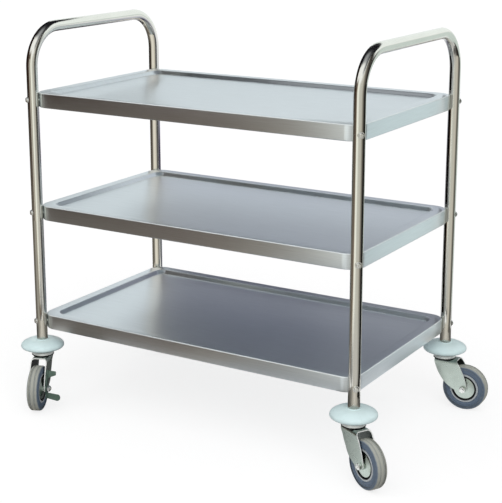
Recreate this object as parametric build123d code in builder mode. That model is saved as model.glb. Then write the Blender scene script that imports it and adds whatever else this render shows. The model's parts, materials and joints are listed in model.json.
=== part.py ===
"""Dining cart: two bent-tube end frames, three pressed shelves and four swivel casters.

Millimetres. X runs along the cart, -Y is the front, +Z is up, and the origin lies on the floor
under the middle of the four posts.
"""

import os
from math import atan2, cos, degrees, radians, sin, sqrt

from build123d import *

os.makedirs("parts", exist_ok=True)

# End frames
post_spacing_x = 800.0
post_spacing_y = 460.0
tube_diameter = 25.0
tube_wall = 1.2
handle_height = 861.0
handle_bend_radius = 85.0

# Shelves
bottom_shelf_height = 179.0
shelf_pitch = 255.0
shelf_names = ("bottom", "middle", "top")
apron_height = 33.0
shelf_corner_radius = 34.0
shelf_sheet = 1.0
shelf_edge_radius = 2.5
rim_width = 24.0
recess_depth = 9.0
recess_slope_width = 7.0
recess_corner_radius = 22.0
recess_edge_radius = 2.0
hem_width = 8.0

# Corner bolts
bolt_height_on_apron = 16.5
bolt_diameter = 6.0
bolt_hole_clearance = 0.3
bolt_head_diameter = 11.0
bolt_head_height = 3.4
bolt_socket_width = 4.0
bolt_socket_depth = 2.0
bolt_tail = 2.0
saddle_washer_diameter = 14.0
saddle_washer_crest = 0.8
nut_width = 10.0
nut_height = 5.0
nut_flange_diameter = 13.0
nut_flange_height = 1.4

# Wheels
wheel_diameter = 102.0
tyre_width = 25.0
tyre_inner_diameter = 67.0
tyre_shoulder_radius = 5.0
tread_groove_offset = 4.2
tread_groove_width = 1.8
tread_groove_depth = 1.3
hub_rim_width = 23.5
hub_recess_diameter = 55.0
hub_web = 8.0
hub_boss_diameter = 20.0
hub_boss_length = 18.0

# Axles
axle_diameter = 8.0
axle_clearance = 0.05
axle_sleeve_diameter = 12.0
axle_sleeve_end_play = 0.3
axle_hex_width = 13.0
axle_head_height = 5.3
axle_nut_height = 6.5
axle_thread_past_nut = 2.0
thread_guard_diameter = 49.0
thread_guard_sheet = 1.2
thread_guard_dish = 2.2
thread_guard_collar_diameter = 17.0

# Caster forks
caster_trail = 52.0
fork_gap = 33.0
fork_sheet = 2.5
fork_bend_radius = 8.0
fork_leg_front = 18.5
fork_leg_back = 33.0
fork_leg_back_bulge = 4.0
fork_leg_end_radius = 9.0
fork_leg_front_angle = -98.0
fork_leg_back_angle = 15.0
fork_plate_height = 113.0
crown_diameter = 51.0
crown_top_diameter = 47.0
crown_height = 7.5
crown_groove_depth = 5.0

# Swivel bearings
stem_diameter = 12.0
stem_clearance = 0.06
stem_head_diameter = 20.0
stem_head_height = 4.5
swivel_gap = 0.6
stem_to_bolt_gap = 2.4
stem_chamfer = 1.0
ball_ring_inner_diameter = 27.0
ball_ring_outer_diameter = 40.0
swivel_cap_diameter = 46.0
swivel_cap_height = 5.5
plug_to_stem_top = 12.0

# Bumpers
bumper_diameter = 98.0
bumper_rim_radius = 8.0
bumper_rim_sweep = 62.0
bumper_neck_diameter = 29.0
bumper_height = 24.0
bumper_dome_bulge = 2.4
bumper_floor = 3.0

# Brake levers
brake_sheet = 2.5
brake_gap = 0.4
brake_hub_radius = 10.5
brake_arm_width = 13.0
brake_upper_angle = 114.0
brake_upper_reach = 41.0
brake_upper_tab_length = 20.0
brake_upper_root_width = 18.0
brake_upper_tip_width = 9.0
brake_upper_tip_lift = -2.0
brake_upper_tip_corner = 2.5
brake_lower_angle = 270.0
brake_lower_reach = 23.0
brake_lower_tab_length = 32.0
brake_lower_root_width = 13.0
brake_lower_tip_width = 16.0
brake_lower_tip_lift = 8.0
brake_lower_tip_corner = 7.0

# Swivel angle of each caster as it stands, and the side of the wheel that carries the axle nut
caster_stance = {
    "front_left": (-1, -1, -66.0, -1),
    "front_right": (1, -1, -28.5, 1),
    "back_left": (-1, 1, -52.0, -1),
    "back_right": (1, 1, 4.0, 1),
}
braked_casters = ("front_left", "back_left")

# Sizes that follow from those above
tube_radius = tube_diameter / 2
tube_bore_radius = tube_radius - tube_wall
wheel_radius = wheel_diameter / 2
half_post_x = post_spacing_x / 2
half_post_y = post_spacing_y / 2

# The rounded shelf corners touch the posts on the diagonal
corner_overhang = shelf_corner_radius - (shelf_corner_radius + tube_radius) / sqrt(2)
shelf_length = post_spacing_x + 2 * corner_overhang
shelf_width = post_spacing_y + 2 * corner_overhang
recess_length = shelf_length - 2 * rim_width
recess_width = shelf_width - 2 * rim_width
recess_taper = degrees(atan2(recess_slope_width, recess_depth))
shelf_heights = {name: bottom_shelf_height + i * shelf_pitch for i, name in enumerate(shelf_names)}

# The stack of one caster, from the fork plate up to the foot of the post
fork_plate_top = fork_plate_height + fork_sheet
crown_top = fork_plate_top + crown_height
crown_groove_floor = crown_top - crown_groove_depth
swivel_cap_bottom = crown_top + swivel_gap
bumper_bottom = swivel_cap_bottom + swivel_cap_height
post_foot = bumper_bottom + bumper_floor
lowest_bolt_height = bottom_shelf_height + bolt_height_on_apron
stem_top = lowest_bolt_height - bolt_diameter / 2 - stem_to_bolt_gap
plug_top = stem_top - plug_to_stem_top

# Stations along the axle, counted from the middle of the wheel
fork_inside = fork_gap / 2
fork_outside = fork_inside + fork_sheet
sleeve_end = hub_boss_length / 2 + axle_sleeve_end_play
brake_inside = fork_outside + brake_gap
brake_outside = brake_inside + brake_sheet

bolt_radius = bolt_diameter / 2
bolt_hole_radius = bolt_radius + bolt_hole_clearance
washer_top = tube_radius + saddle_washer_crest
corner_inside_radius = shelf_corner_radius - shelf_sheet
nut_flange_radius = nut_flange_diameter / 2
nut_seat = tube_radius + shelf_corner_radius - sqrt(corner_inside_radius**2 - nut_flange_radius**2)
nut_back = nut_seat + nut_flange_height + nut_height
bolt_end = nut_back + bolt_tail


def save(builder, name):
    """Name a finished piece and write it out."""
    builder.part.label = name
    export_step(builder.part, f"parts/{name}.step")


def bolt_planes(side_x_values, heights):
    """Planes on the post axes at the given heights, facing outward along the corner diagonals."""
    return [
        Plane(
            origin=(side_x * half_post_x, side_y * half_post_y, height),
            x_dir=(0, 0, 1),
            z_dir=(side_x, side_y, 0),
        )
        for side_x in side_x_values
        for side_y in (-1, 1)
        for height in heights
    ]


bolt_heights = [height + bolt_height_on_apron for height in shelf_heights.values()]
all_bolt_planes = bolt_planes((-1, 1), bolt_heights)


class Caster:
    """Where one caster stands, which way it trails and on which side its axle nut is."""

    def __init__(self, side_x, side_y, swivel_angle, nut_side):
        angle = radians(swivel_angle)
        self.nut_side = nut_side
        foot = Vector(side_x * half_post_x, side_y * half_post_y, 0)
        trail_way = Vector(cos(angle), sin(angle), 0)
        axle_way = Vector(sin(angle), -cos(angle), 0)
        nut_way = axle_way * nut_side
        up = Vector(0, 0, 1)
        axle_centre = foot + trail_way * caster_trail + up * wheel_radius

        # Views from above, the side and the trailing end, and radial sections through both axes
        self.plan = Plane(origin=foot, x_dir=trail_way, z_dir=up)
        self.side = Plane(origin=foot, x_dir=trail_way, z_dir=axle_way)
        self.front = Plane(origin=foot, x_dir=-axle_way, z_dir=trail_way)
        self.upright = Plane(origin=foot, x_dir=trail_way, z_dir=trail_way.cross(up))
        self.axle_face = Plane(origin=axle_centre, x_dir=trail_way, z_dir=axle_way)
        self.axle_section = Plane(origin=axle_centre, x_dir=nut_way, z_dir=nut_way.cross(up))
        self.swivel_axis = Axis(foot, up)
        self.axle_axis = Axis(axle_centre, nut_way)


casters = {name: Caster(*stance) for name, stance in caster_stance.items()}


# End frames

def make_end_frame(name, side_x):
    """One tube bent twice: two posts with the handle bar between them, drilled for the bolts."""
    with BuildPart() as end_frame:
        with BuildLine(Plane.YZ.offset(side_x * half_post_x)) as bent_axis:
            FilletPolyline(
                (-half_post_y, post_foot),
                (-half_post_y, handle_height),
                (half_post_y, handle_height),
                (half_post_y, post_foot),
                radius=handle_bend_radius,
            )
        with BuildSketch(Plane(origin=bent_axis.line @ 0, z_dir=bent_axis.line % 0)):
            Circle(tube_radius)
            Circle(tube_bore_radius, mode=Mode.SUBTRACT)
        sweep()
        with BuildSketch(*bolt_planes((side_x,), bolt_heights)):
            Circle(bolt_hole_radius)
        extrude(amount=tube_diameter, both=True, mode=Mode.SUBTRACT)
    save(end_frame, name)


make_end_frame("end_frame_left", -1)
make_end_frame("end_frame_right", 1)


# Shelves

def make_shelf(name, height):
    """A pressed sheet: rim, slanted step down to a sunk floor, apron and hemmed lower edge."""
    with BuildPart() as shelf:
        with BuildSketch(Plane.XY.offset(height)):
            RectangleRounded(shelf_length, shelf_width, shelf_corner_radius)
        extrude(amount=apron_height)
        fillet(shelf.faces().sort_by(Axis.Z)[-1].edges(), shelf_edge_radius)
        with BuildSketch(Plane.XY.offset(height + apron_height)):
            RectangleRounded(recess_length, recess_width, recess_corner_radius)
        extrude(amount=-recess_depth, taper=recess_taper, mode=Mode.SUBTRACT)
        recess_floor = shelf.faces().filter_by_position(
            Axis.Z, height + shelf_sheet, height + apron_height - shelf_sheet
        ).sort_by(SortBy.AREA)[-1]
        rim = shelf.faces().sort_by(Axis.Z)[-1]
        fillet(recess_floor.edges() + rim.inner_wires().edges(), recess_edge_radius)
        offset(amount=-shelf_sheet, openings=shelf.faces().sort_by(Axis.Z)[0])
        with BuildSketch(Plane.XY.offset(height)):
            RectangleRounded(shelf_length, shelf_width, shelf_corner_radius)
            RectangleRounded(
                shelf_length - 2 * hem_width,
                shelf_width - 2 * hem_width,
                shelf_corner_radius - hem_width,
                mode=Mode.SUBTRACT,
            )
        extrude(amount=shelf_sheet)
        with BuildSketch(*bolt_planes((-1, 1), [height + bolt_height_on_apron])):
            Circle(bolt_hole_radius)
        extrude(amount=-nut_seat, mode=Mode.SUBTRACT)
    save(shelf, name)


for shelf_name, shelf_height in shelf_heights.items():
    make_shelf(f"shelf_{shelf_name}", shelf_height)


# Corner bolts, their curved washers and the nuts inside the shelf corners

with BuildPart() as shelf_bolts:
    for plane in all_bolt_planes:
        with BuildSketch(plane.offset(-bolt_end)):
            Circle(bolt_radius)
        extrude(amount=bolt_end + washer_top)
        with BuildSketch(plane.offset(washer_top)):
            Circle(bolt_head_diameter / 2)
        extrude(amount=bolt_head_height, taper=15)
        with BuildSketch(plane.offset(washer_top + bolt_head_height)):
            RegularPolygon(bolt_socket_width / 2, 6, major_radius=False)
        extrude(amount=-bolt_socket_depth, mode=Mode.SUBTRACT)
save(shelf_bolts, "shelf_bolts")

with BuildPart() as shelf_washers:
    with BuildSketch(*all_bolt_planes):
        Circle(saddle_washer_diameter / 2)
        Circle(bolt_hole_radius, mode=Mode.SUBTRACT)
    extrude(amount=washer_top)
    with BuildSketch(Plane.XY):
        with GridLocations(post_spacing_x, post_spacing_y, 2, 2):
            Circle(tube_radius)
    extrude(amount=handle_height, mode=Mode.SUBTRACT)
save(shelf_washers, "shelf_washers")

with BuildPart() as shelf_nuts:
    for plane in all_bolt_planes:
        with BuildSketch(plane.offset(-nut_seat)):
            Circle(nut_flange_radius)
            Circle(bolt_radius, mode=Mode.SUBTRACT)
        extrude(amount=-nut_flange_height)
        with BuildSketch(plane.offset(-nut_seat - nut_flange_height)):
            RegularPolygon(nut_width / 2, 6, major_radius=False)
            Circle(bolt_radius, mode=Mode.SUBTRACT)
        extrude(amount=-nut_height)
save(shelf_nuts, "shelf_nuts")


# Bumpers

def make_bumper(name, caster):
    """A domed disc with a rounded rim, pushed up over the foot of the post."""
    rim_centre_x = bumper_diameter / 2 - bumper_rim_radius
    rim_centre_z = bumper_bottom + bumper_rim_radius
    rim_end = radians(bumper_rim_sweep)
    neck = (bumper_neck_diameter / 2, bumper_bottom + bumper_height)
    shoulder = (
        rim_centre_x + bumper_rim_radius * cos(rim_end),
        rim_centre_z + bumper_rim_radius * sin(rim_end),
    )
    with BuildPart() as bumper:
        with BuildSketch(caster.upright):
            with BuildLine():
                Line((stem_diameter / 2, bumper_bottom), (rim_centre_x, bumper_bottom))
                ThreePointArc(
                    (rim_centre_x, bumper_bottom),
                    (rim_centre_x + bumper_rim_radius, rim_centre_z),
                    shoulder,
                )
                SagittaArc(shoulder, neck, -bumper_dome_bulge)
                Polyline(
                    neck,
                    (tube_radius, bumper_bottom + bumper_height),
                    (tube_radius, post_foot),
                    (stem_diameter / 2, post_foot),
                    (stem_diameter / 2, bumper_bottom),
                )
            make_face()
        revolve(axis=caster.swivel_axis)
    save(bumper, name)


# Swivel bearings: plug, stem and cap stay with the post, the ball ring turns with the fork

def make_tube_plug(name, caster):
    """The expander plug that fills the foot of the tube and grips the stem."""
    with BuildPart() as plug:
        with BuildSketch(caster.plan.offset(post_foot)):
            Circle(tube_bore_radius)
            Circle(stem_diameter / 2, mode=Mode.SUBTRACT)
        extrude(amount=plug_top - post_foot)
    save(plug, name)


def make_swivel_stem(name, caster):
    """The king pin: its head is under the fork plate and its shank runs up into the plug."""
    head_top = fork_plate_height - swivel_gap
    with BuildPart() as stem:
        with BuildSketch(caster.plan.offset(head_top - stem_head_height)):
            Circle(stem_head_diameter / 2)
        extrude(amount=stem_head_height)
        with BuildSketch(caster.plan.offset(head_top)):
            Circle(stem_diameter / 2)
        extrude(amount=stem_top - head_top)
        chamfer(stem.faces().sort_by(Axis.Z)[-1].edges(), stem_chamfer)
    save(stem, name)


def make_swivel_cap(name, caster):
    """The fixed upper race, a shallow cup turned down over the balls."""
    lip = (swivel_cap_diameter - ball_ring_outer_diameter) / 4
    with BuildPart() as cap:
        with BuildSketch(caster.plan.offset(swivel_cap_bottom)):
            Circle(swivel_cap_diameter / 2)
            Circle(stem_diameter / 2, mode=Mode.SUBTRACT)
        extrude(amount=swivel_cap_height)
        fillet(cap.faces().sort_by(Axis.Z)[-1].outer_wire().edges(), lip)
    save(cap, name)


def make_ball_ring(name, caster):
    """The caged ring of balls, which sits in the groove of the fork crown."""
    ring_height = crown_groove_depth
    with BuildPart() as ring:
        with BuildSketch(caster.plan.offset(crown_groove_floor)):
            Circle(ball_ring_outer_diameter / 2)
            Circle(ball_ring_inner_diameter / 2, mode=Mode.SUBTRACT)
        extrude(amount=ring_height)
    save(ring, name)


# Forks

def make_fork(name, caster):
    """A pressed fork: a bent channel cut to two raked legs, under a raised round crown."""
    stem_bore_radius = stem_diameter / 2 + stem_clearance
    leg_foot = wheel_radius - fork_leg_end_radius
    channel_drop = fork_plate_top - leg_foot
    leg_back_angle = radians(fork_leg_back_angle)
    leg_front_angle = radians(fork_leg_front_angle)
    leg_tip_angle = (leg_back_angle + leg_front_angle) / 2
    plate_front = (-fork_leg_front, fork_plate_top)
    plate_back = (fork_leg_back, fork_plate_top)
    front_edge_way = (sin(leg_front_angle), -cos(leg_front_angle))

    def on_leg_end(angle):
        return (
            caster_trail + fork_leg_end_radius * cos(angle),
            wheel_radius + fork_leg_end_radius * sin(angle),
        )

    with BuildPart() as fork:
        with BuildSketch(caster.front.offset(-fork_leg_front)) as channel:
            with Locations((0, fork_plate_top)):
                Rectangle(2 * fork_outside, channel_drop, align=(Align.CENTER, Align.MAX))
            fillet(channel.vertices().group_by(Axis.Y)[-1], fork_bend_radius)
            with Locations((0, fork_plate_height)):
                Rectangle(fork_gap, channel_drop, align=(Align.CENTER, Align.MAX), mode=Mode.SUBTRACT)
            fillet(channel.vertices().group_by(Axis.Y)[-2], fork_bend_radius - fork_sheet)
        extrude(amount=fork_leg_front + caster_trail + fork_leg_end_radius)
        with BuildSketch(caster.side):
            with BuildLine():
                Line(plate_front, plate_back)
                SagittaArc(plate_back, on_leg_end(leg_back_angle), fork_leg_back_bulge)
                ThreePointArc(
                    on_leg_end(leg_back_angle), on_leg_end(leg_tip_angle), on_leg_end(leg_front_angle)
                )
                TangentArc(on_leg_end(leg_front_angle), plate_front, tangent=front_edge_way)
            make_face()
        extrude(amount=fork_outside, both=True, mode=Mode.INTERSECT)
        with BuildSketch(caster.upright):
            with BuildLine():
                Polyline(
                    (stem_bore_radius, fork_plate_height),
                    (fork_inside, fork_plate_height),
                    (crown_diameter / 2, fork_plate_top),
                    (crown_top_diameter / 2, crown_top),
                    (ball_ring_outer_diameter / 2, crown_top),
                    (ball_ring_outer_diameter / 2, crown_groove_floor),
                    (stem_bore_radius, crown_groove_floor),
                    close=True,
                )
            make_face()
        revolve(axis=caster.swivel_axis)
        with BuildSketch(caster.plan.offset(fork_plate_height)):
            Circle(stem_bore_radius)
        extrude(amount=crown_top - fork_plate_height, mode=Mode.SUBTRACT)
        with BuildSketch(caster.axle_face.offset(-fork_outside)):
            Circle(axle_diameter / 2 + axle_clearance)
        extrude(amount=2 * fork_outside, mode=Mode.SUBTRACT)
    save(fork, name)


# Axles

def make_thread_guards(name, caster):
    """Two dished discs clamped beside the wheel centre, each with a collar against its leg."""
    disc_inside = sleeve_end + axle_sleeve_end_play
    rim_radius = thread_guard_diameter / 2
    collar_radius = thread_guard_collar_diameter / 2
    bore_radius = axle_diameter / 2 + axle_clearance
    with BuildPart() as guards:
        for side in (-1, 1):
            with BuildSketch(caster.axle_section):
                with BuildLine():
                    Polyline(
                        (side * sleeve_end, bore_radius),
                        (side * sleeve_end, axle_sleeve_diameter / 2),
                        (side * (disc_inside + thread_guard_dish), collar_radius),
                        (side * disc_inside, rim_radius),
                        (side * (disc_inside + thread_guard_sheet), rim_radius),
                        (side * (disc_inside + thread_guard_dish + thread_guard_sheet), collar_radius),
                        (side * fork_inside, collar_radius),
                        (side * fork_inside, bore_radius),
                        close=True,
                    )
                make_face()
            revolve(axis=caster.axle_axis)
    save(guards, name)


def make_axle_sleeve(name, caster):
    """The spacer tube between the thread guards, on which the wheel turns."""
    with BuildPart() as sleeve:
        with BuildSketch(caster.axle_face.offset(-sleeve_end)):
            Circle(axle_sleeve_diameter / 2)
            Circle(axle_diameter / 2 + axle_clearance, mode=Mode.SUBTRACT)
        extrude(amount=2 * sleeve_end)
    save(sleeve, name)


def nut_station(name):
    """How far from the wheel's middle the axle nut sits: outside the brake lever, if there is one."""
    return brake_outside + brake_gap if name in braked_casters else fork_outside


def make_axle_bolt(name, caster, nut_inside):
    """A hexagon-headed bolt through both fork legs."""
    side = caster.nut_side
    bolt_tip = nut_inside + axle_nut_height + axle_thread_past_nut
    with BuildPart() as bolt:
        with BuildSketch(caster.axle_face.offset(-side * fork_outside)):
            RegularPolygon(axle_hex_width / 2, 6, major_radius=False)
        extrude(amount=-side * axle_head_height)
        with BuildSketch(caster.axle_face.offset(-side * fork_outside)):
            Circle(axle_diameter / 2)
        extrude(amount=side * (fork_outside + bolt_tip))
    save(bolt, name)


def make_axle_nut(name, caster, nut_inside):
    """The hexagon nut that holds the axle bolt."""
    side = caster.nut_side
    with BuildPart() as nut:
        with BuildSketch(caster.axle_face.offset(side * nut_inside)):
            RegularPolygon(axle_hex_width / 2, 6, major_radius=False)
            Circle(axle_diameter / 2, mode=Mode.SUBTRACT)
        extrude(amount=side * axle_nut_height)
    save(nut, name)


# Wheels

def make_wheel_hub(name, caster):
    """The moulded wheel centre: rim, web and a boss bored for the sleeve."""
    rim_radius = tyre_inner_diameter / 2
    recess_radius = hub_recess_diameter / 2
    boss_radius = hub_boss_diameter / 2
    bore_radius = axle_sleeve_diameter / 2 + axle_clearance
    with BuildPart() as hub:
        with BuildSketch(caster.axle_section):
            with Locations((0, (rim_radius + recess_radius) / 2)):
                Rectangle(hub_rim_width, rim_radius - recess_radius)
            with Locations((0, (recess_radius + boss_radius) / 2)):
                Rectangle(hub_web, recess_radius - boss_radius)
            with Locations((0, (boss_radius + bore_radius) / 2)):
                Rectangle(hub_boss_length, boss_radius - bore_radius)
        revolve(axis=caster.axle_axis)
    save(hub, name)


def make_tyre(name, caster):
    """A rubber tyre with rounded shoulders and grooves round the tread."""
    inner_radius = tyre_inner_diameter / 2
    with BuildPart() as tyre:
        with BuildSketch(caster.axle_section) as section:
            with Locations((0, (wheel_radius + inner_radius) / 2)):
                Rectangle(tyre_width, wheel_radius - inner_radius)
            fillet(section.vertices().group_by(Axis.Y)[-1], tyre_shoulder_radius)
            with Locations((-tread_groove_offset, wheel_radius), (tread_groove_offset, wheel_radius)):
                Rectangle(tread_groove_width, 2 * tread_groove_depth, mode=Mode.SUBTRACT)
        revolve(axis=caster.axle_axis)
    save(tyre, name)


# Brake levers

def make_brake_lever(name, caster):
    """A rocker on the axle with two tabs turned outward, one to lock it and one to free it."""
    side = caster.nut_side
    outer_end = 0 if side > 0 else -1
    face = caster.axle_face
    arms = (
        (
            brake_upper_angle, brake_upper_reach, brake_upper_tab_length, brake_upper_root_width,
            brake_upper_tip_width, brake_upper_tip_lift, brake_upper_tip_corner,
        ),
        (
            brake_lower_angle, brake_lower_reach, brake_lower_tab_length, brake_lower_root_width,
            brake_lower_tip_width, brake_lower_tip_lift, brake_lower_tip_corner,
        ),
    )
    with BuildPart() as lever:
        for angle, reach, tab_length, root_width, tip_width, tip_lift, tip_corner in arms:
            arm_way = face.x_dir * cos(radians(angle)) + face.y_dir * sin(radians(angle))
            arm_face = Plane(face.origin, x_dir=arm_way, z_dir=face.z_dir)
            tab_face = Plane(face.origin, x_dir=arm_way, z_dir=arm_face.y_dir)
            tab_root = -side * brake_inside
            tab_end = -side * (brake_inside + tab_length)
            with BuildSketch(arm_face.offset(side * brake_inside)):
                Circle(brake_hub_radius)
                Rectangle(reach, brake_arm_width, align=(Align.MIN, Align.CENTER))
            extrude(amount=side * brake_sheet)
            with BuildSketch(tab_face) as tab:
                with BuildLine():
                    Polyline(
                        (reach - root_width, tab_root),
                        (reach, tab_root),
                        (reach + tip_lift, tab_end),
                        (reach + tip_lift - tip_width, tab_end),
                        close=True,
                    )
                make_face()
                fillet(tab.vertices().group_by(Axis.Y)[outer_end], tip_corner)
            extrude(amount=brake_sheet / 2, both=True)
        with BuildSketch(caster.axle_face.offset(side * brake_inside)):
            Circle(axle_diameter / 2 + axle_clearance)
        extrude(amount=side * brake_sheet, mode=Mode.SUBTRACT)
    save(lever, name)


for corner, caster in casters.items():
    nut_inside = nut_station(corner)
    make_bumper(f"bumper_{corner}", caster)
    make_tube_plug(f"tube_plug_{corner}", caster)
    make_swivel_stem(f"swivel_stem_{corner}", caster)
    make_swivel_cap(f"swivel_cap_{corner}", caster)
    make_ball_ring(f"ball_ring_{corner}", caster)
    make_fork(f"fork_{corner}", caster)
    make_thread_guards(f"thread_guards_{corner}", caster)
    make_axle_sleeve(f"axle_sleeve_{corner}", caster)
    make_axle_bolt(f"axle_bolt_{corner}", caster, nut_inside)
    make_axle_nut(f"axle_nut_{corner}", caster, nut_inside)
    make_wheel_hub(f"wheel_hub_{corner}", caster)
    make_tyre(f"tyre_{corner}", caster)
    if corner in braked_casters:
        make_brake_lever(f"brake_lever_{corner}", caster)
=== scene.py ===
"""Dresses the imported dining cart: polished tubes, satin shelves, pale bumpers and grey casters.

Metres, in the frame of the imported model: X along the shelves, -Y the front, +Z up.
"""

import json
from math import asin, atan2, cos, degrees, pi, radians, sin, sqrt, tan

import bmesh
import bpy
from bpy.props import FloatProperty, FloatVectorProperty, PointerProperty
from mathutils import Matrix, Vector


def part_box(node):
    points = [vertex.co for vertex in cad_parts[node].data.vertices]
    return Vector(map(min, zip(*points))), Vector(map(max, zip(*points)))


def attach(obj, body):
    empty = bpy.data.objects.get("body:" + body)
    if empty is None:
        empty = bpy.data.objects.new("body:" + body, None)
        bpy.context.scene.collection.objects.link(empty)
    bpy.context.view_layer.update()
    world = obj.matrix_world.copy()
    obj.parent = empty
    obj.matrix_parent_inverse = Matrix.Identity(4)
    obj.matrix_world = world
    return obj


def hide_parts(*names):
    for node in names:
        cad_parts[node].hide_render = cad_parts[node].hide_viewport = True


bl_info = {
    "name": "Dining Cart",
    "version": (1, 0, 0),
    "blender": (4, 5, 0),
    "location": "View3D > Sidebar > Dining Cart",
    "description": "Builds the visible pieces of a three-shelf dining cart around its packed frame",
    "category": "Add Mesh",
}

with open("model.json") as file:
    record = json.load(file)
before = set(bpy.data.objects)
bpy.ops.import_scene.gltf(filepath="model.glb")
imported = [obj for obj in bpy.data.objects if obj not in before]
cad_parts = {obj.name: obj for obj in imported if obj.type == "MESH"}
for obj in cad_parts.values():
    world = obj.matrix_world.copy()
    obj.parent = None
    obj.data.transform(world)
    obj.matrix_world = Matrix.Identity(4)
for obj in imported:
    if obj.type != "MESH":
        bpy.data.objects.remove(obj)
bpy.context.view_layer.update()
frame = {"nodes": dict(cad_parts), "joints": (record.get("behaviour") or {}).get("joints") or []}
JOINTS = {joint["name"]: joint for joint in frame["joints"]}
CORNERS = ("front_left", "front_right", "back_left", "back_right")
BRAKED = tuple(corner for corner in CORNERS if f"brake_lever_{corner}" in frame["nodes"])
SHELVES = ("bottom", "middle", "top")
SIDES = {"left": -1, "right": 1}

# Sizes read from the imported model
POST_LOW, POST_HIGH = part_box("end_frame_right")
TUBE_RADIUS = (POST_HIGH.x - POST_LOW.x) / 2
POST_X = (POST_HIGH.x + POST_LOW.x) / 2
POST_Y = POST_HIGH.y - TUBE_RADIUS
HANDLE_HEIGHT = POST_HIGH.z - TUBE_RADIUS
SHELF_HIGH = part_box("shelf_top")[1]
BUMPER_LOW, BUMPER_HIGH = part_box("bumper_front_right")
TYRE_LOW, TYRE_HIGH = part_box("tyre_front_right")
CAP_LOW, CAP_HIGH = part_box("swivel_cap_front_right")
FORK_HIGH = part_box("fork_front_right")[1]


# Property groups

def length(name, description, default):
    """A size that a user may change, in metres."""
    return FloatProperty(
        name=name, description=description, default=default, min=0.0, precision=4, unit="LENGTH"
    )


def angle(name, description, default):
    """An angle that a user may change, given here in degrees."""
    return FloatProperty(name=name, description=description, default=radians(default), unit="ROTATION")


def number(name, description, default):
    """A plain number that a user may change."""
    return FloatProperty(name=name, description=description, default=default)


def colour(name, description, default):
    """A colour that a user may change."""
    return FloatVectorProperty(
        name=name, description=description, default=default, size=3, min=0.0, max=1.0, subtype="COLOR"
    )


class EndFrameSizes(bpy.types.PropertyGroup):
    """Sizes of the bent tubes."""

    tube_radius: length("Tube radius", "Outside radius of the frame tube", TUBE_RADIUS)
    tube_wall: length("Tube wall", "Wall of the frame tube", 0.0012)
    bend_radius: length("Bend radius", "Radius of the handle bends, on the tube's centre line", 0.085)
    handle_height: length("Handle height", "Height of the handle bar's centre line", HANDLE_HEIGHT)


class ShelfSizes(bpy.types.PropertyGroup):
    """Sizes of the pressed shelves."""

    corner_radius: length("Corner radius", "Radius of the shelf corners in plan", 0.034)
    edge_radius: length("Edge radius", "Radius of the fold between rim and apron", 0.0025)
    rim_width: length("Rim width", "Flat rim from the outer edge to the step", 0.024)
    recess_depth: length("Recess depth", "How far the floor lies under the rim", 0.009)
    slope_width: length("Slope width", "Run of the slanted step", 0.007)
    recess_corner: length("Recess corner", "Corner radius of the step where it leaves the rim", 0.022)
    hem_width: length("Hem width", "Lip folded inward under the apron", 0.008)
    sheet: length("Sheet", "Thickness of the shelf sheet", 0.001)


class BoltSizes(bpy.types.PropertyGroup):
    """Sizes of the corner bolts and their washers."""

    head_radius: length("Head radius", "Radius of the button head", 0.0055)
    head_height: length("Head height", "Height of the button head", 0.0034)
    socket_width: length("Socket width", "Hexagon socket, across flats", 0.004)
    washer_radius: length("Washer radius", "Radius of the curved washer", 0.007)
    washer_crest: length("Washer crest", "Washer thickness over the crest of the tube", 0.0008)
    height_on_apron: length("Height on apron", "Bolt centre above the apron's lower edge", 0.0165)


class BumperSizes(bpy.types.PropertyGroup):
    """Sizes of the round bumpers."""

    radius: length("Radius", "Outside radius of the bumper", (BUMPER_HIGH.x - BUMPER_LOW.x) / 2)
    rim_radius: length("Rim radius", "Roundness of the outer rim", 0.008)
    rim_under: length("Rim under", "How far the rim rounds down under its widest line", 0.0052)
    seat_radius: length("Seat radius", "Flat seat under the bumper, for the swivel cap", 0.026)
    neck_radius: length("Neck radius", "Radius of the neck round the post", 0.0145)
    dome_bulge: length("Dome bulge", "How far the dome rises over a straight cone", 0.0024)


class CasterSizes(bpy.types.PropertyGroup):
    """Sizes of the forks, wheels and axles."""

    wheel_radius: length("Wheel radius", "Radius over the tread", (TYRE_HIGH.z - TYRE_LOW.z) / 2)
    tyre_width: length("Tyre width", "Width of the tyre", 0.025)
    tyre_inner_radius: length("Tyre inner radius", "Radius where the tyre meets the wheel centre", 0.0335)
    hub_recess_radius: length("Hub recess radius", "Radius of the dished part of the wheel centre", 0.0275)
    hub_rim_width: length("Hub rim width", "Width of the wheel centre's rim", 0.0235)
    guard_radius: length("Guard radius", "Radius of the thread-guard discs", 0.0245)
    fork_gap: length("Fork gap", "Clear width between the fork legs", 0.033)
    fork_sheet: length("Fork sheet", "Thickness of the fork sheet", 0.0025)
    fork_bend: length("Fork bend", "Outside radius of the fork's two bends", 0.008)
    fork_front: length("Fork front", "Fork plate ahead of the swivel axis", 0.0185)
    fork_back: length("Fork back", "Fork plate behind the swivel axis", 0.033)
    fork_end_radius: length("Fork end radius", "Rounded end of each leg round the axle", 0.009)
    fork_front_angle: angle("Fork front angle", "Where the front edge meets the leg's rounded end", -98.0)
    fork_back_angle: angle("Fork back angle", "Where the back edge meets the leg's rounded end", 15.0)
    fork_back_bulge: length("Fork back bulge", "How far the back edge bulges", 0.004)
    fork_roll: length("Fork roll", "How far the front edge of each leg is rolled inward", 0.0024)
    fork_roll_width: length("Fork roll width", "Width of the rolled strip along the front edge", 0.014)
    crown_radius: length("Crown radius", "Radius of the crown at its foot", 0.0255)
    crown_top_radius: length("Crown top radius", "Radius of the crown at its top", 0.0235)
    crown_height: length("Crown height", "Height of the crown over the fork plate", 0.0075)
    axle_radius: length("Axle radius", "Radius of the axle bolt", 0.004)
    hex_width: length("Hexagon width", "Axle bolt head and nut, across flats", 0.013)
    nut_height: length("Nut height", "Height of the axle nut", 0.0065)
    head_height: length("Head height", "Height of the axle bolt's head", 0.0053)


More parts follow.
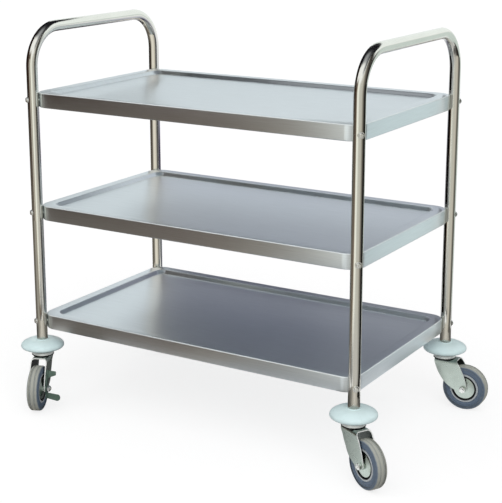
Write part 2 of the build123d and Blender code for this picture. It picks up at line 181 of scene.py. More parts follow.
class Finishes(bpy.types.PropertyGroup):
    """Colours of the materials."""

    polished_steel: colour("Polished steel", "Frame tubes", (0.82, 0.82, 0.76))
    satin_steel: colour("Satin steel", "Shelves", (0.76, 0.82, 0.86))
    bright_plate: colour("Bright plate", "Bolts and nuts", (0.88, 0.90, 0.88))
    zinc_plate: colour("Zinc plate", "Forks and thread guards", (0.54, 0.62, 0.57))
    brake_plate: colour("Brake plate", "Brake levers", (0.10, 0.16, 0.13))
    # Painted highlight: the bright line along the shelves' folds.
    fold_highlight_colour: colour("Glinting edge", "Folds of the shelves, painted bright", (0.86, 0.92, 0.94))
    # Painted highlight: the fork's cut edges, the race caps and the crown tops are drawn pale and little
    # metallic so they read bright.
    highlight_zinc: colour("Highlit zinc", "Cut edges of the forks and the swivel rings", (0.90, 0.92, 0.90))
    # Painted shade: the inner faces of the forks are drawn dark for the shadow between the legs.
    fork_inside_shade: colour("Fork inside", "Shaded inner faces of the forks", (0.17, 0.19, 0.18))
    # Painted shade: near-black for the ring round each thread guard and the line under each fork crown.
    painted_shade_colour: colour("Painted shade", "Darkening in the wheel centres and round the swivels", (0.012, 0.013, 0.014))
    bearing_steel: colour("Bearing steel", "Hidden bearing pieces", (0.45, 0.46, 0.47))
    bumper_plastic: colour("Bumper plastic", "Bumpers", (0.70, 0.86, 0.87))
    hub_plastic: colour("Hub plastic", "Wheel centres", (0.52, 0.56, 0.58))
    tyre_side: colour("Tyre side", "Tyre walls", (0.115, 0.160, 0.225))
    tyre_tread: colour("Tyre tread", "Dusty tread", (0.40, 0.41, 0.365))
    plug_rubber: colour("Plug rubber", "Expander plugs in the tube ends", (0.02, 0.02, 0.02))


class StudioSetup(bpy.types.PropertyGroup):
    """Camera, floor and lights."""

    camera_place: FloatVectorProperty(
        name="Camera place", description="Where the camera stands", default=(1.502291, -2.446516, 1.165103),
        size=3, subtype="TRANSLATION", unit="LENGTH",
    )
    camera_turn: angle("Camera turn", "Turn of the camera about the vertical", 31.194)
    camera_dip: angle("Camera dip", "How far the camera looks down", 13.658)
    camera_lens: FloatProperty(
        name="Camera lens", description="Focal length in millimetres", default=94.627, unit="CAMERA"
    )
    camera_rise: number("Camera rise", "Vertical shift of the camera", -0.0905)
    floor_size: length("Floor size", "Side of the floor", 60.0)
    floor_tone: colour("Floor tone", "Colour of the floor", (0.30, 0.30, 0.30))
    floor_glow: number("Floor glow", "White added where the camera sees the floor", 0.76)
    room_light: number("Room light", "Light that comes from all round", 0.45)
    overhead_strength: number("Overhead strength", "Soft light from above", 0.9)
    key_strength: number("Key strength", "Soft light from the camera's right", 0.9)
    fill_strength: number("Fill strength", "Soft light from the left", 0.4)


# Mesh helpers

# Points round each bolt, nut and washer
RING_STEPS = 48
# Points round the caps and crowns, round the bumpers, hubs and guards, and round the tyres
CAP_STEPS, HUB_STEPS, TYRE_STEPS = 72, 96, 128
# Height of the chamfer on the axle bolts and nuts, and how far their round faces lie inside the flats
HEX_CHAMFER, HEX_INSET = 0.0008, 0.0006


def clamp(value):
    """The value, kept between nought and one."""
    return min(1.0, max(0.0, value))


def ease(share):
    """Goes from nought to one with a soft start and a soft end."""
    return share * share * (3 - 2 * share)


def circle(radius, height, steps=RING_STEPS):
    """A ring of points round the local Z axis."""
    turns = [2 * pi * i / steps for i in range(steps)]
    return [Vector((radius * cos(turn), radius * sin(turn), height)) for turn in turns]


def hexagon(width, height):
    """A six-sided ring with as many points as a bolt's circle, so that the two can be joined."""
    ring = []
    for i in range(RING_STEPS):
        turn = 2 * pi * i / RING_STEPS
        off_flat = (turn + pi / 6) % (pi / 3) - pi / 6
        reach = width / 2 / cos(off_flat)
        ring.append(Vector((reach * cos(turn), reach * sin(turn), height)))
    return ring


def around(turn, reach, height, centre=(0.0, 0.0)):
    """A spot at a height, so many degrees to the right of the front as seen from a centre."""
    way = radians(turn)
    return (centre[0] + reach * sin(way), centre[1] - reach * cos(way), height)


def arc(centre, radius, start, end, steps=8):
    """Points (across, up) on an arc, with its angles in degrees."""
    turns = [radians(start + (end - start) * i / steps) for i in range(steps + 1)]
    return [(centre[0] + radius * cos(turn), centre[1] + radius * sin(turn)) for turn in turns]


def bowed(start, end, bulge, steps=12):
    """Points on the arc from start to end that bulges to the left of its way."""
    along = Vector(end) - Vector(start)
    aside = Vector((-along.y, along.x)).normalized()
    half = along.length / 2
    radius = (half * half + bulge * bulge) / (2 * bulge)
    sweep = asin(half / radius)
    centre = Vector(start) + along / 2 + aside * (bulge - radius)
    points = []
    for i in range(steps + 1):
        turn = sweep * (2 * i / steps - 1)
        points.append(tuple(centre + along.normalized() * radius * sin(turn) + aside * radius * cos(turn)))
    return points


def rounded_rectangle(half_x, half_y, radius, height, steps=10):
    """A ring of points round a rectangle with rounded corners."""
    ring = []
    for quarter, (side_x, side_y) in enumerate(((1, 1), (-1, 1), (-1, -1), (1, -1))):
        centre = (side_x * (half_x - radius), side_y * (half_y - radius))
        for across, up in arc(centre, radius, 90 * quarter, 90 * quarter + 90, steps):
            ring.append(Vector((across, up, height)))
    return ring


def join_rings(mesh, rings, closed=False, cap_start=False, cap_end=False):
    """Joins rings of equal length with a skin of four-sided faces."""
    rows = [[mesh.verts.new(point) for point in ring] for ring in rings]
    pairs = list(zip(rows, rows[1:]))
    if closed:
        pairs.append((rows[-1], rows[0]))
    for low, high in pairs:
        for i, corner in enumerate(low):
            after = (i + 1) % len(low)
            mesh.faces.new((corner, low[after], high[after], high[i]))
    if cap_start:
        mesh.faces.new(reversed(rows[0]))
    if cap_end:
        mesh.faces.new(rows[-1])
    return rows


def turned(mesh, profile, steps):
    """Turns a closed profile of (radius, height) points round the local Z axis."""
    join_rings(mesh, [circle(radius, height, steps) for radius, height in profile], closed=True)


def facing(origin, x_way, y_way, z_way):
    """A matrix that turns the local axes to the given ways and moves them to an origin."""
    turn = Matrix((x_way, y_way, z_way)).transposed().to_4x4()
    return Matrix.Translation(origin) @ turn


def add_object(name, mesh, material):
    """Turns a finished mesh into an object of the scene."""
    data = bpy.data.meshes.new(name)
    mesh.to_mesh(data)
    mesh.free()
    data.materials.append(material)
    made = bpy.data.objects.new(name, data)
    bpy.context.scene.collection.objects.link(made)
    return made


def place(name, mesh, matrix, body, finish_name, stands_for=(), crease=35.0):
    """Turns a finished mesh into a piece that rides on a body of the frame."""
    origin = matrix.to_translation()
    mesh.transform(Matrix.Translation(-origin) @ matrix)
    bmesh.ops.recalc_face_normals(mesh, faces=mesh.faces)
    for face in mesh.faces:
        face.smooth = True
    for edge in mesh.edges:
        edge.smooth = len(edge.link_faces) != 2 or edge.calc_face_angle(0.0) < radians(crease)
    piece = add_object(name, mesh, finish(finish_name))
    piece.matrix_world = Matrix.Translation(origin)
    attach(piece, body)
    if stands_for:
        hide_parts(*stands_for)
    return piece


def mark(mesh, name, test):
    """Gives each point of a mesh a number: one where the test holds, nought elsewhere."""
    layer = mesh.verts.layers.float.new(name)
    for vertex in mesh.verts:
        vertex[layer] = 1.0 if test(vertex.co) else 0.0


def soften(piece, width):
    """Rounds the sharp edges of a piece."""
    bevel = piece.modifiers.new("Rounded edges", "BEVEL")
    bevel.width = width
    bevel.segments = 2
    bevel.limit_method = "ANGLE"
    bevel.angle_limit = radians(40)
    bevel.harden_normals = True


def thicken(piece, thickness):
    """Gives a sheet its thickness, inward from its outer face."""
    solid = piece.modifiers.new("Sheet", "SOLIDIFY")
    solid.thickness = thickness
    solid.offset = -1.0
    solid.use_even_offset = True


# Where the casters stand

class CasterPlace:
    """The foot, trail length and two local frames of one caster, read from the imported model."""

    def __init__(self, corner):
        swivel = Vector(JOINTS[f"swivel_{corner}"]["pos_m"])
        axle = Vector(JOINTS[f"roll_{corner}"]["pos_m"])
        nut_low, nut_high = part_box(f"axle_nut_{corner}")
        self.foot = Vector((swivel.x, swivel.y, 0.0))
        self.trail_length = (axle - swivel).xy.length
        up = Vector((0, 0, 1))
        trail = (Vector((axle.x, axle.y, 0.0)) - self.foot).normalized()
        across = up.cross(trail)
        nut_way = 1 if ((nut_low + nut_high) / 2 - axle).dot(across) > 0 else -1
        out = across * nut_way

        # Local X trails, local Z is up
        self.upright = facing(self.foot, trail, across, up)
        # Local X trails, local Z points out of the wheel on the nut's side
        self.on_axle = facing(axle, trail, out.cross(trail), out)


PLACES = {corner: CasterPlace(corner) for corner in CORNERS}


# Materials

# Tells this script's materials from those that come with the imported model
OWN_PREFIX = "cart_"
# Most of a noise lies between these two values
NOISE_LOW, NOISE_HIGH = 0.3, 0.7


class Finish:
    """A material under construction: one shader and the nodes that feed it."""

    def __init__(self, name, base, metallic, roughness):
        self.material = bpy.data.materials.new(OWN_PREFIX + name)
        self.material.use_nodes = True
        self.nodes = self.material.node_tree.nodes
        self.links = self.material.node_tree.links
        self.shader = self.nodes["Principled BSDF"]
        self.shader.inputs["Base Color"].default_value = (*base, 1.0)
        self.shader.inputs["Metallic"].default_value = metallic
        self.shader.inputs["Roughness"].default_value = roughness
        self.coordinates = self.nodes.new("ShaderNodeTexCoord")
        self.space = "Object"

    def noise(self, scale, stretch=(1, 1, 1)):
        """Noise in the piece's own coordinates, stretched along chosen axes."""
        mapping = self.nodes.new("ShaderNodeMapping")
        mapping.inputs["Scale"].default_value = stretch
        texture = self.nodes.new("ShaderNodeTexNoise")
        texture.inputs["Scale"].default_value = scale
        texture.inputs["Detail"].default_value = 3.0
        self.links.new(self.coordinates.outputs[self.space], mapping.inputs["Vector"])
        self.links.new(mapping.outputs["Vector"], texture.inputs["Vector"])
        return texture.outputs["Fac"]

    def ramp(self, factor, stops):
        """A colour ramp fed by a factor; stops are (position, colour)."""
        node = self.nodes.new("ShaderNodeValToRGB")
        elements = node.color_ramp.elements
        while len(elements) < len(stops):
            elements.new(0.5)
        for element, (position, tone) in zip(elements, stops):
            element.position = position
            element.color = (*tone, 1.0)
        self.links.new(factor, node.inputs["Fac"])
        return node.outputs["Color"]

    def span(self, factor, low, high, out_low, out_high):
        """Maps a factor from one span to another."""
        node = self.nodes.new("ShaderNodeMapRange")
        sockets = ("From Min", "From Max", "To Min", "To Max")
        for socket, value in zip(sockets, (low, high, out_low, out_high)):
            node.inputs[socket].default_value = value
        self.links.new(factor, node.inputs["Value"])
        return node.outputs["Result"]

    def feed(self, socket, output):
        """Leads an output to a socket of the shader."""
        self.links.new(output, self.shader.inputs[socket])

    def bump(self, height, strength, distance):
        """Raises the surface by a height pattern."""
        node = self.nodes.new("ShaderNodeBump")
        node.inputs["Strength"].default_value = strength
        node.inputs["Distance"].default_value = distance
        self.links.new(height, node.inputs["Height"])
        self.feed("Normal", node.outputs["Normal"])

    def attribute(self, name):
        """A number that the piece carries at each of its points."""
        node = self.nodes.new("ShaderNodeAttribute")
        node.attribute_name = name
        return node.outputs["Fac"]

    def blend(self, factor, first, second):
        """Goes from a pattern's colour to a plain one."""
        # The numbers of the node's sockets for colours
        from_colour, to_colour, blended = 6, 7, 2
        node = self.nodes.new("ShaderNodeMix")
        node.data_type = "RGBA"
        self.links.new(factor, node.inputs["Factor"])
        self.links.new(first, node.inputs[from_colour])
        node.inputs[to_colour].default_value = (*second, 1.0)
        return node.outputs[blended]

    def brush(self, amount):
        """Spreads the gloss across the brush lines, which follow the piece's own coordinates."""
        tangent = self.nodes.new("ShaderNodeTangent")
        tangent.direction_type = "UV_MAP"
        tangent.uv_map = "brushing"
        self.shader.inputs["Anisotropic"].default_value = amount
        self.shader.inputs["Anisotropic Rotation"].default_value = 0.25
        self.feed("Tangent", tangent.outputs["Tangent"])

    def cloudy(self, pattern, base, amount):
        """A colour that a pattern makes a little darker and lighter than its base."""
        darker = [tone * (1 - amount) for tone in base]
        lighter = [min(1.0, tone * (1 + amount)) for tone in base]
        return self.ramp(pattern, ((NOISE_LOW, darker), (NOISE_HIGH, lighter)))

    def mottle(self, base, scale, amount):
        """Lets the colour wander a little round its base."""
        self.feed("Base Color", self.cloudy(self.noise(scale), base, amount))

    def roughen(self, scale, low, high, stretch=(1, 1, 1)):
        """Lets the roughness wander between two values."""
        pattern = self.noise(scale, stretch)
        self.feed("Roughness", self.span(pattern, NOISE_LOW, NOISE_HIGH, low, high))


def polished_steel(finishes):
    """Mirror-polished stainless tube with a faint haze from the polishing belt."""
    base = finishes.polished_steel
    steel = Finish("polished_steel", base, 1.0, 0.20)
    steel.mottle(base, 9.0, 0.03)
    steel.space = "UV"
    steel.roughen(1600.0, 0.10, 0.16, stretch=(0.02, 1, 1))
    steel.brush(0.85)
    return steel.material


def satin_steel(finishes):
    """Satin shelf sheet, brushed along its length."""
    base = finishes.satin_steel
    steel = Finish("satin_steel", base, 1.0, 0.38)
    steel.space = "UV"
    dull = steel.cloudy(steel.noise(700.0, stretch=(0.02, 1, 1)), base, 0.05)
    # Painted highlight: the marked fold is drawn pale and less metallic.
    edge = steel.attribute("painted_fold_highlight")
    steel.feed("Base Color", steel.blend(edge, dull, finishes.fold_highlight_colour))
    steel.roughen(1100.0, 0.29, 0.36, stretch=(0.015, 1, 1))
    steel.feed("Metallic", steel.span(edge, 0.0, 1.0, 1.0, 0.35))
    steel.brush(0.85)
    return steel.material


def bright_plate(finishes):
    """Bright plated bolts and nuts."""
    base = finishes.bright_plate
    plate = Finish("bright_plate", base, 1.0, 0.22)
    plate.mottle(base, 300.0, 0.06)
    plate.roughen(700.0, 0.16, 0.30)
    return plate.material


def zinc_plate(finishes):
    """Zinc-plated pressed steel, a little cloudy."""
    base = finishes.zinc_plate
    plate = Finish("zinc_plate", base, 1.0, 0.24)
    clean = plate.cloudy(plate.noise(40.0), base, 0.05)
    # Painted highlight: marked parts turn pale and less metallic.
    painted_highlight = plate.attribute("painted_highlight")
    # Painted shade on the inner faces of the fork legs.
    dull = plate.blend(plate.attribute("inside"), clean, finishes.fork_inside_shade)
    with_highlight = plate.blend(painted_highlight, dull, finishes.highlight_zinc)
    # Painted shade: points marked at the crown's foot take the near-black shade colour.
    plate.feed("Base Color", plate.blend(plate.attribute("painted_shade"), with_highlight, finishes.painted_shade_colour))
    plate.feed("Metallic", plate.span(painted_highlight, 0.0, 1.0, 1.0, 0.20))
    plate.roughen(60.0, 0.24, 0.32)
    return plate.material


def brake_plate(finishes):
    """Darker greenish plating of the brake levers."""
    base = finishes.brake_plate
    plate = Finish("brake_plate", base, 0.3, 0.38)
    plate.mottle(base, 160.0, 0.10)
    plate.roughen(300.0, 0.30, 0.46)
    return plate.material


def bearing_steel(finishes):
    """Hardened steel of the hidden bearing pieces."""
    base = finishes.bearing_steel
    steel = Finish("bearing_steel", base, 1.0, 0.35)
    steel.mottle(base, 200.0, 0.08)
    return steel.material


def bumper_plastic(finishes):
    """Pale moulded plastic with a soft sheen."""
    base = finishes.bumper_plastic
    plastic = Finish("bumper_plastic", base, 0.0, 0.32)
    plastic.mottle(base, 45.0, 0.04)
    plastic.roughen(220.0, 0.26, 0.40)
    plastic.bump(plastic.noise(900.0), 0.08, 0.0003)
    return plastic.material


def hub_plastic(finishes):
    """Light grey moulded wheel centre."""
    base = finishes.hub_plastic
    plastic = Finish("hub_plastic", base, 0.0, 0.42)
    clean = plastic.cloudy(plastic.noise(80.0), base, 0.05)
    # Painted shade: the marked recess round the thread guard is drawn near-black.
    plastic.feed("Base Color", plastic.blend(plastic.attribute("painted_shade"), clean, finishes.painted_shade_colour))
    plastic.bump(plastic.noise(700.0), 0.10, 0.0003)
    return plastic.material


def tyre_rubber(finishes):
    """Grey rubber, paler and dusty where the tread runs on the floor."""
    rubber = Finish("tyre_rubber", finishes.tyre_side, 0.0, 0.55)
    wear = rubber.nodes.new("ShaderNodeMath")
    wear.operation = "MULTIPLY_ADD"
    rubber.links.new(rubber.noise(160.0), wear.inputs[0])
    wear.inputs[1].default_value = 0.5
    rubber.links.new(rubber.attribute("dust"), wear.inputs[2])
    tread = rubber.span(wear.outputs["Value"], 0.45, 1.15, 0.0, 1.0)
    dusty = rubber.ramp(tread, ((0.0, finishes.tyre_side), (1.0, finishes.tyre_tread)))
    rubber.feed("Base Color", dusty)
    rubber.roughen(240.0, 0.48, 0.66)
    rubber.bump(rubber.noise(800.0), 0.2, 0.0004)
    return rubber.material


def plug_rubber(finishes):
    """Black rubber of the expander plugs."""
    base = finishes.plug_rubber
    rubber = Finish("plug_rubber", base, 0.0, 0.7)
    rubber.mottle(base, 150.0, 0.2)
    return rubber.material


MAKERS = {
    "polished_steel": polished_steel,
    "satin_steel": satin_steel,
    "bright_plate": bright_plate,
    "zinc_plate": zinc_plate,
    "brake_plate": brake_plate,
    "bearing_steel": bearing_steel,
    "bumper_plastic": bumper_plastic,
    "hub_plastic": hub_plastic,
    "tyre_rubber": tyre_rubber,
    "plug_rubber": plug_rubber,
}


def finish(name):
    """The material of that name, made the first time it is asked for."""
    found = bpy.data.materials.get(OWN_PREFIX + name)
    if found:
        return found
    return MAKERS[name](bpy.context.scene.cart_finishes)


def paint_node(node, name):
    """Gives a carried-over piece of the frame its material."""
    piece = frame["nodes"][node]
    piece.data.materials.clear()
    piece.data.materials.append(finish(name))


# Operators

class CART_OT_end_frames(bpy.types.Operator):
    """Bends the two polished tubes that are posts and handles in one"""

    bl_idname = "cart.end_frames"
    bl_label = "End Frames"

    def execute(self, context):
        sizes = context.scene.cart_end_frames
        for side, side_x in SIDES.items():
            mesh = bmesh.new()
            rows = join_rings(mesh, self.rings(sizes))
            self.lay_polishing(mesh, rows, sizes)
            tube = place(
                f"bent_tube_{side}", mesh, Matrix.Translation((side_x * POST_X, 0, 0)), "cart_frame",
                "polished_steel", [f"end_frame_{side}"],
            )
            thicken(tube, sizes.tube_wall)
        return {"FINISHED"}

    @staticmethod
    def rings(sizes):
        """Rings round the tube, from one foot over the handle to the other."""
        bend = sizes.bend_radius
        bend_y = POST_Y - bend
        bend_z = sizes.handle_height - bend
        post_rise = bend_z - POST_LOW.z
        post_steps, bend_steps, round_steps = 6, 28, 56
        path = [(-POST_Y, POST_LOW.z + post_rise * i / post_steps, 180.0) for i in range(post_steps)]
        for centre_y, start in ((-bend_y, 180), (bend_y, 90)):
            for i in range(bend_steps + 1):
                turn = start - 90 * i / bend_steps
                way = radians(turn)
                path.append((centre_y + bend * cos(way), bend_z + bend * sin(way), turn))
        path += [(POST_Y, bend_z - post_rise * (i + 1) / post_steps, 0.0) for i in range(post_steps)]
        across = Vector((1, 0, 0))
        section = circle(sizes.tube_radius, 0, round_steps)
        rings = []
        for y, z, turn in path:
            outward = Vector((0, cos(radians(turn)), sin(radians(turn))))
            centre = Vector((0, y, z))
            rings.append([centre + across * point.x + outward * point.y for point in section])
        return rings

    @staticmethod
    def lay_polishing(mesh, rows, sizes):
        """Coordinates whose first axis follows the polishing lines round the tube."""
        layer = mesh.loops.layers.uv.new("brushing")
        count = len(rows[0])
        spots = {}
        along = 0.0
        for row, ring in enumerate(rows):
            if row:
                along += (ring[0].co - rows[row - 1][0].co).length
            for i, vertex in enumerate(ring):
                spots[vertex] = (i, along)
        for face in mesh.faces:
            steps = [spots[loop.vert][0] for loop in face.loops]
            wraps = max(steps) - min(steps) > 1
            for loop, step in zip(face.loops, steps):
                turn = step + count if wraps and step == 0 else step
                loop[layer].uv = (2 * pi * sizes.tube_radius * turn / count, spots[loop.vert][1])


class CART_OT_shelves(bpy.types.Operator):
    """Presses the three shelves with their rims, sunk floors and folded aprons"""

    bl_idname = "cart.shelves"
    bl_label = "Shelves"

    def execute(self, context):
        sizes = context.scene.cart_shelves
        for level in SHELVES:
            low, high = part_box(f"shelf_{level}")
            mesh = bmesh.new()
            rows = join_rings(mesh, self.rings(sizes, high.z - low.z))
            mesh.faces.new(rows[-1])
            self.lay_brushing(mesh)
            self.lay_painted_fold_highlight(mesh, len(rows[0]))
            shelf = place(
                f"pressed_shelf_{level}", mesh, Matrix.Translation((0, 0, low.z)), "cart_frame",
                "satin_steel", [f"shelf_{level}"],
            )
            thicken(shelf, sizes.sheet)
        return {"FINISHED"}

    @staticmethod
    def rings(sizes, height):
        """Rings from the hem's inner edge, out and up the apron, over the rim and down to the floor."""
        edge, rim, depth, slope = sizes.edge_radius, sizes.rim_width, sizes.recess_depth, sizes.slope_width
        run_out, slope_steps = 0.002, 14
        profile = [(sizes.hem_width, 0.0)]
        profile += arc((edge, edge), edge, 270, 180, 3)
        profile += arc((edge, height - edge), edge, 180, 90, 6)
        for i in range(slope_steps + 1):
            share = i / slope_steps
            profile.append((rim - run_out + (slope + 2 * run_out) * share, height - depth * ease(share)))
        rings = []
        half_x, half_y = SHELF_HIGH.x, SHELF_HIGH.y
        for inset, z in profile:
            share = clamp(inset / rim)
            radius = sizes.corner_radius * (1 - share) + sizes.recess_corner * share - max(0.0, inset - rim)
            if z < height / 2:
                radius = sizes.corner_radius - inset
            rings.append(rounded_rectangle(half_x - inset, half_y - inset, radius, z))
        return rings

    @staticmethod
    def lay_brushing(mesh):
        """Coordinates whose first axis follows the brush lines: lengthwise on each face."""
        flat_from = 0.3
        bmesh.ops.recalc_face_normals(mesh, faces=mesh.faces)
        layer = mesh.loops.layers.uv.new("brushing")
        for face in mesh.faces:
            across, along, up = (abs(part) for part in face.normal)
            for loop in face.loops:
                x, y, z = loop.vert.co
                if up > flat_from:
                    loop[layer].uv = (x, y)
                elif along > across:
                    loop[layer].uv = (x, z)
                else:
                    loop[layer].uv = (y, z)

    @staticmethod
    def lay_painted_fold_highlight(mesh, ring_count):
        """Marks the fold of the rim, where the material paints a bright highlight line."""
        layer = mesh.verts.layers.float.new("painted_fold_highlight")
        first_ring, last_ring = 7, 10
        mesh.verts.index_update()
        for vertex in mesh.verts:
            vertex[layer] = 1.0 if first_ring <= vertex.index // ring_count <= last_ring else 0.0


class CART_OT_corner_bolts(bpy.types.Operator):
    """Makes the button-head bolts through the posts, with a curved washer under each"""

    bl_idname = "cart.corner_bolts"
    bl_label = "Corner Bolts"

    def execute(self, context):
        sizes = context.scene.cart_bolts
        heads, washers = bmesh.new(), bmesh.new()
        for level in SHELVES:
            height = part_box(f"shelf_{level}")[0].z + sizes.height_on_apron
            for side_x in (-1, 1):
                for side_y in (-1, 1):
                    matrix = self.seat(side_x, side_y, height)
                    self.add(heads, self.head_rings(sizes), matrix, cap_end=True)
                    self.add(washers, self.washer_rings(sizes), matrix, closed=True)
        unmoved = Matrix.Identity(4)
        place("button_heads", heads, unmoved, "cart_frame", "bright_plate", ["shelf_bolts"])
        place("curved_washers", washers, unmoved, "cart_frame", "bright_plate", ["shelf_washers"])
        paint_node("shelf_nuts", "bright_plate")
        return {"FINISHED"}

    @staticmethod
    def seat(side_x, side_y, height):
        """Local Z points out along the corner's diagonal and local X is up."""
        out = Vector((side_x, side_y, 0)).normalized()
        up = Vector((0, 0, 1))
        return facing(Vector((side_x * POST_X, side_y * POST_Y, height)), up, out.cross(up), out)

    @staticmethod
    def add(mesh, rings, matrix, **options):
        """Joins rings into a mesh where a matrix puts them."""
        join_rings(mesh, [[matrix @ point for point in ring] for ring in rings], **options)

    @staticmethod
    def head_rings(sizes):
        """The domed head with its hexagon socket, and the shank that runs back through the post."""
        seat = TUBE_RADIUS + sizes.washer_crest
        rim, rise = sizes.head_radius, sizes.head_height
        flat_share, edge, socket_depth = 0.55, 0.0006, 0.002
        top = rim * flat_share
        shank, shank_end = 0.003, -0.0225
        rings = [circle(shank, shank_end), circle(shank, seat), circle(rim, seat)]
        for across, up in arc((0, 0), 1.0, 0, 90, 8):
            rings.append(circle(top + (rim - top) * across, seat + edge + (rise - edge) * up))
        rings.append(hexagon(sizes.socket_width, seat + rise))
        rings.append(hexagon(sizes.socket_width, seat + rise - socket_depth))
        return rings

    @staticmethod
    def washer_rings(sizes):
        """A flat-topped washer whose underside follows the tube."""
        top = TUBE_RADIUS + sizes.washer_crest
        inner, outer, lip = 0.0033, sizes.washer_radius, 0.0003

        def on_tube(ring):
            return [Vector((p.x, p.y, sqrt(TUBE_RADIUS**2 - p.y**2))) for p in ring]

        return [
            on_tube(circle(inner, 0)),
            circle(inner, top),
            circle(outer - lip, top),
            circle(outer, top - lip),
            on_tube(circle(outer, 0)),
        ]


class CART_OT_bumpers(bpy.types.Operator):
    """Moulds the domed bumpers at the feet of the posts"""

    bl_idname = "cart.bumpers"
    bl_label = "Bumpers"

    def execute(self, context):
        sizes = context.scene.cart_bumpers
        for corner in CORNERS:
            mesh = bmesh.new()
            turned(mesh, self.profile(sizes), HUB_STEPS)
            place(
                f"domed_bumper_{corner}", mesh, PLACES[corner].upright, "cart_frame",
                "bumper_plastic", [f"bumper_{corner}"],
            )
        return {"FINISHED"}

    @staticmethod
    def profile(sizes):
        """From the bore underneath, out round the rim, up the dome to the neck and down inside it."""
        low, high = BUMPER_LOW.z, BUMPER_HIGH.z
        rim, under = sizes.rim_radius, sizes.rim_under
        neck, bore = 0.0012, 0.0061
        rounding = []
        for across, up in arc((0, 0), 1.0, -90, 62, 16):
            height = low + rim + (under if up < 0 else rim) * up
            rounding.append((sizes.radius - rim + rim * across, height))
        dome = bowed(rounding[-1], (sizes.neck_radius + neck, high - neck), -sizes.dome_bulge, 16)
        collar = arc((sizes.neck_radius, high - neck), neck, 20, 90, 4)
        inside = [(TUBE_RADIUS, high), (TUBE_RADIUS, POST_LOW.z), (bore, POST_LOW.z)]
        return [(bore, low), (sizes.seat_radius, low)] + rounding + dome[1:] + collar + inside


class CART_OT_swivels(bpy.types.Operator):
    """Dresses the swivel caps, and the plugs, stems and ball rings inside them"""

    bl_idname = "cart.swivels"
    bl_label = "Swivels"

    def execute(self, context):
        bright_from = CAP_LOW.z + 0.0003
        for corner in CORNERS:
            mesh = bmesh.new()
            turned(mesh, self.cap_profile(), CAP_STEPS)
            # Painted highlight: nearly the whole cap is marked to be drawn bright.
            mark(mesh, "painted_highlight", lambda point: point.z > bright_from)
            place(
                f"race_cap_{corner}", mesh, PLACES[corner].upright, "cart_frame",
                "zinc_plate", [f"swivel_cap_{corner}"],
            )
            paint_node(f"tube_plug_{corner}", "plug_rubber")
            paint_node(f"swivel_stem_{corner}", "bearing_steel")
            paint_node(f"ball_ring_{corner}", "bearing_steel")
        return {"FINISHED"}

    @staticmethod
    def cap_profile():
        """A shallow cup with a rounded shoulder, upside down over the balls."""
        low, high = CAP_LOW.z, CAP_HIGH.z
        outer = (CAP_HIGH.x - CAP_LOW.x) / 2
        bore, chamfer, shoulder = 0.0062, 0.0004, 0.0015
        top = arc((outer - shoulder, high - shoulder), shoulder, 0, 90, 6)
        lip = [(outer - chamfer, low)]
        lip += [(outer, low + rise) for rise in (chamfer, 0.0011, 0.0013)]
        return [(bore, low)] + lip + top + [(bore, high)]


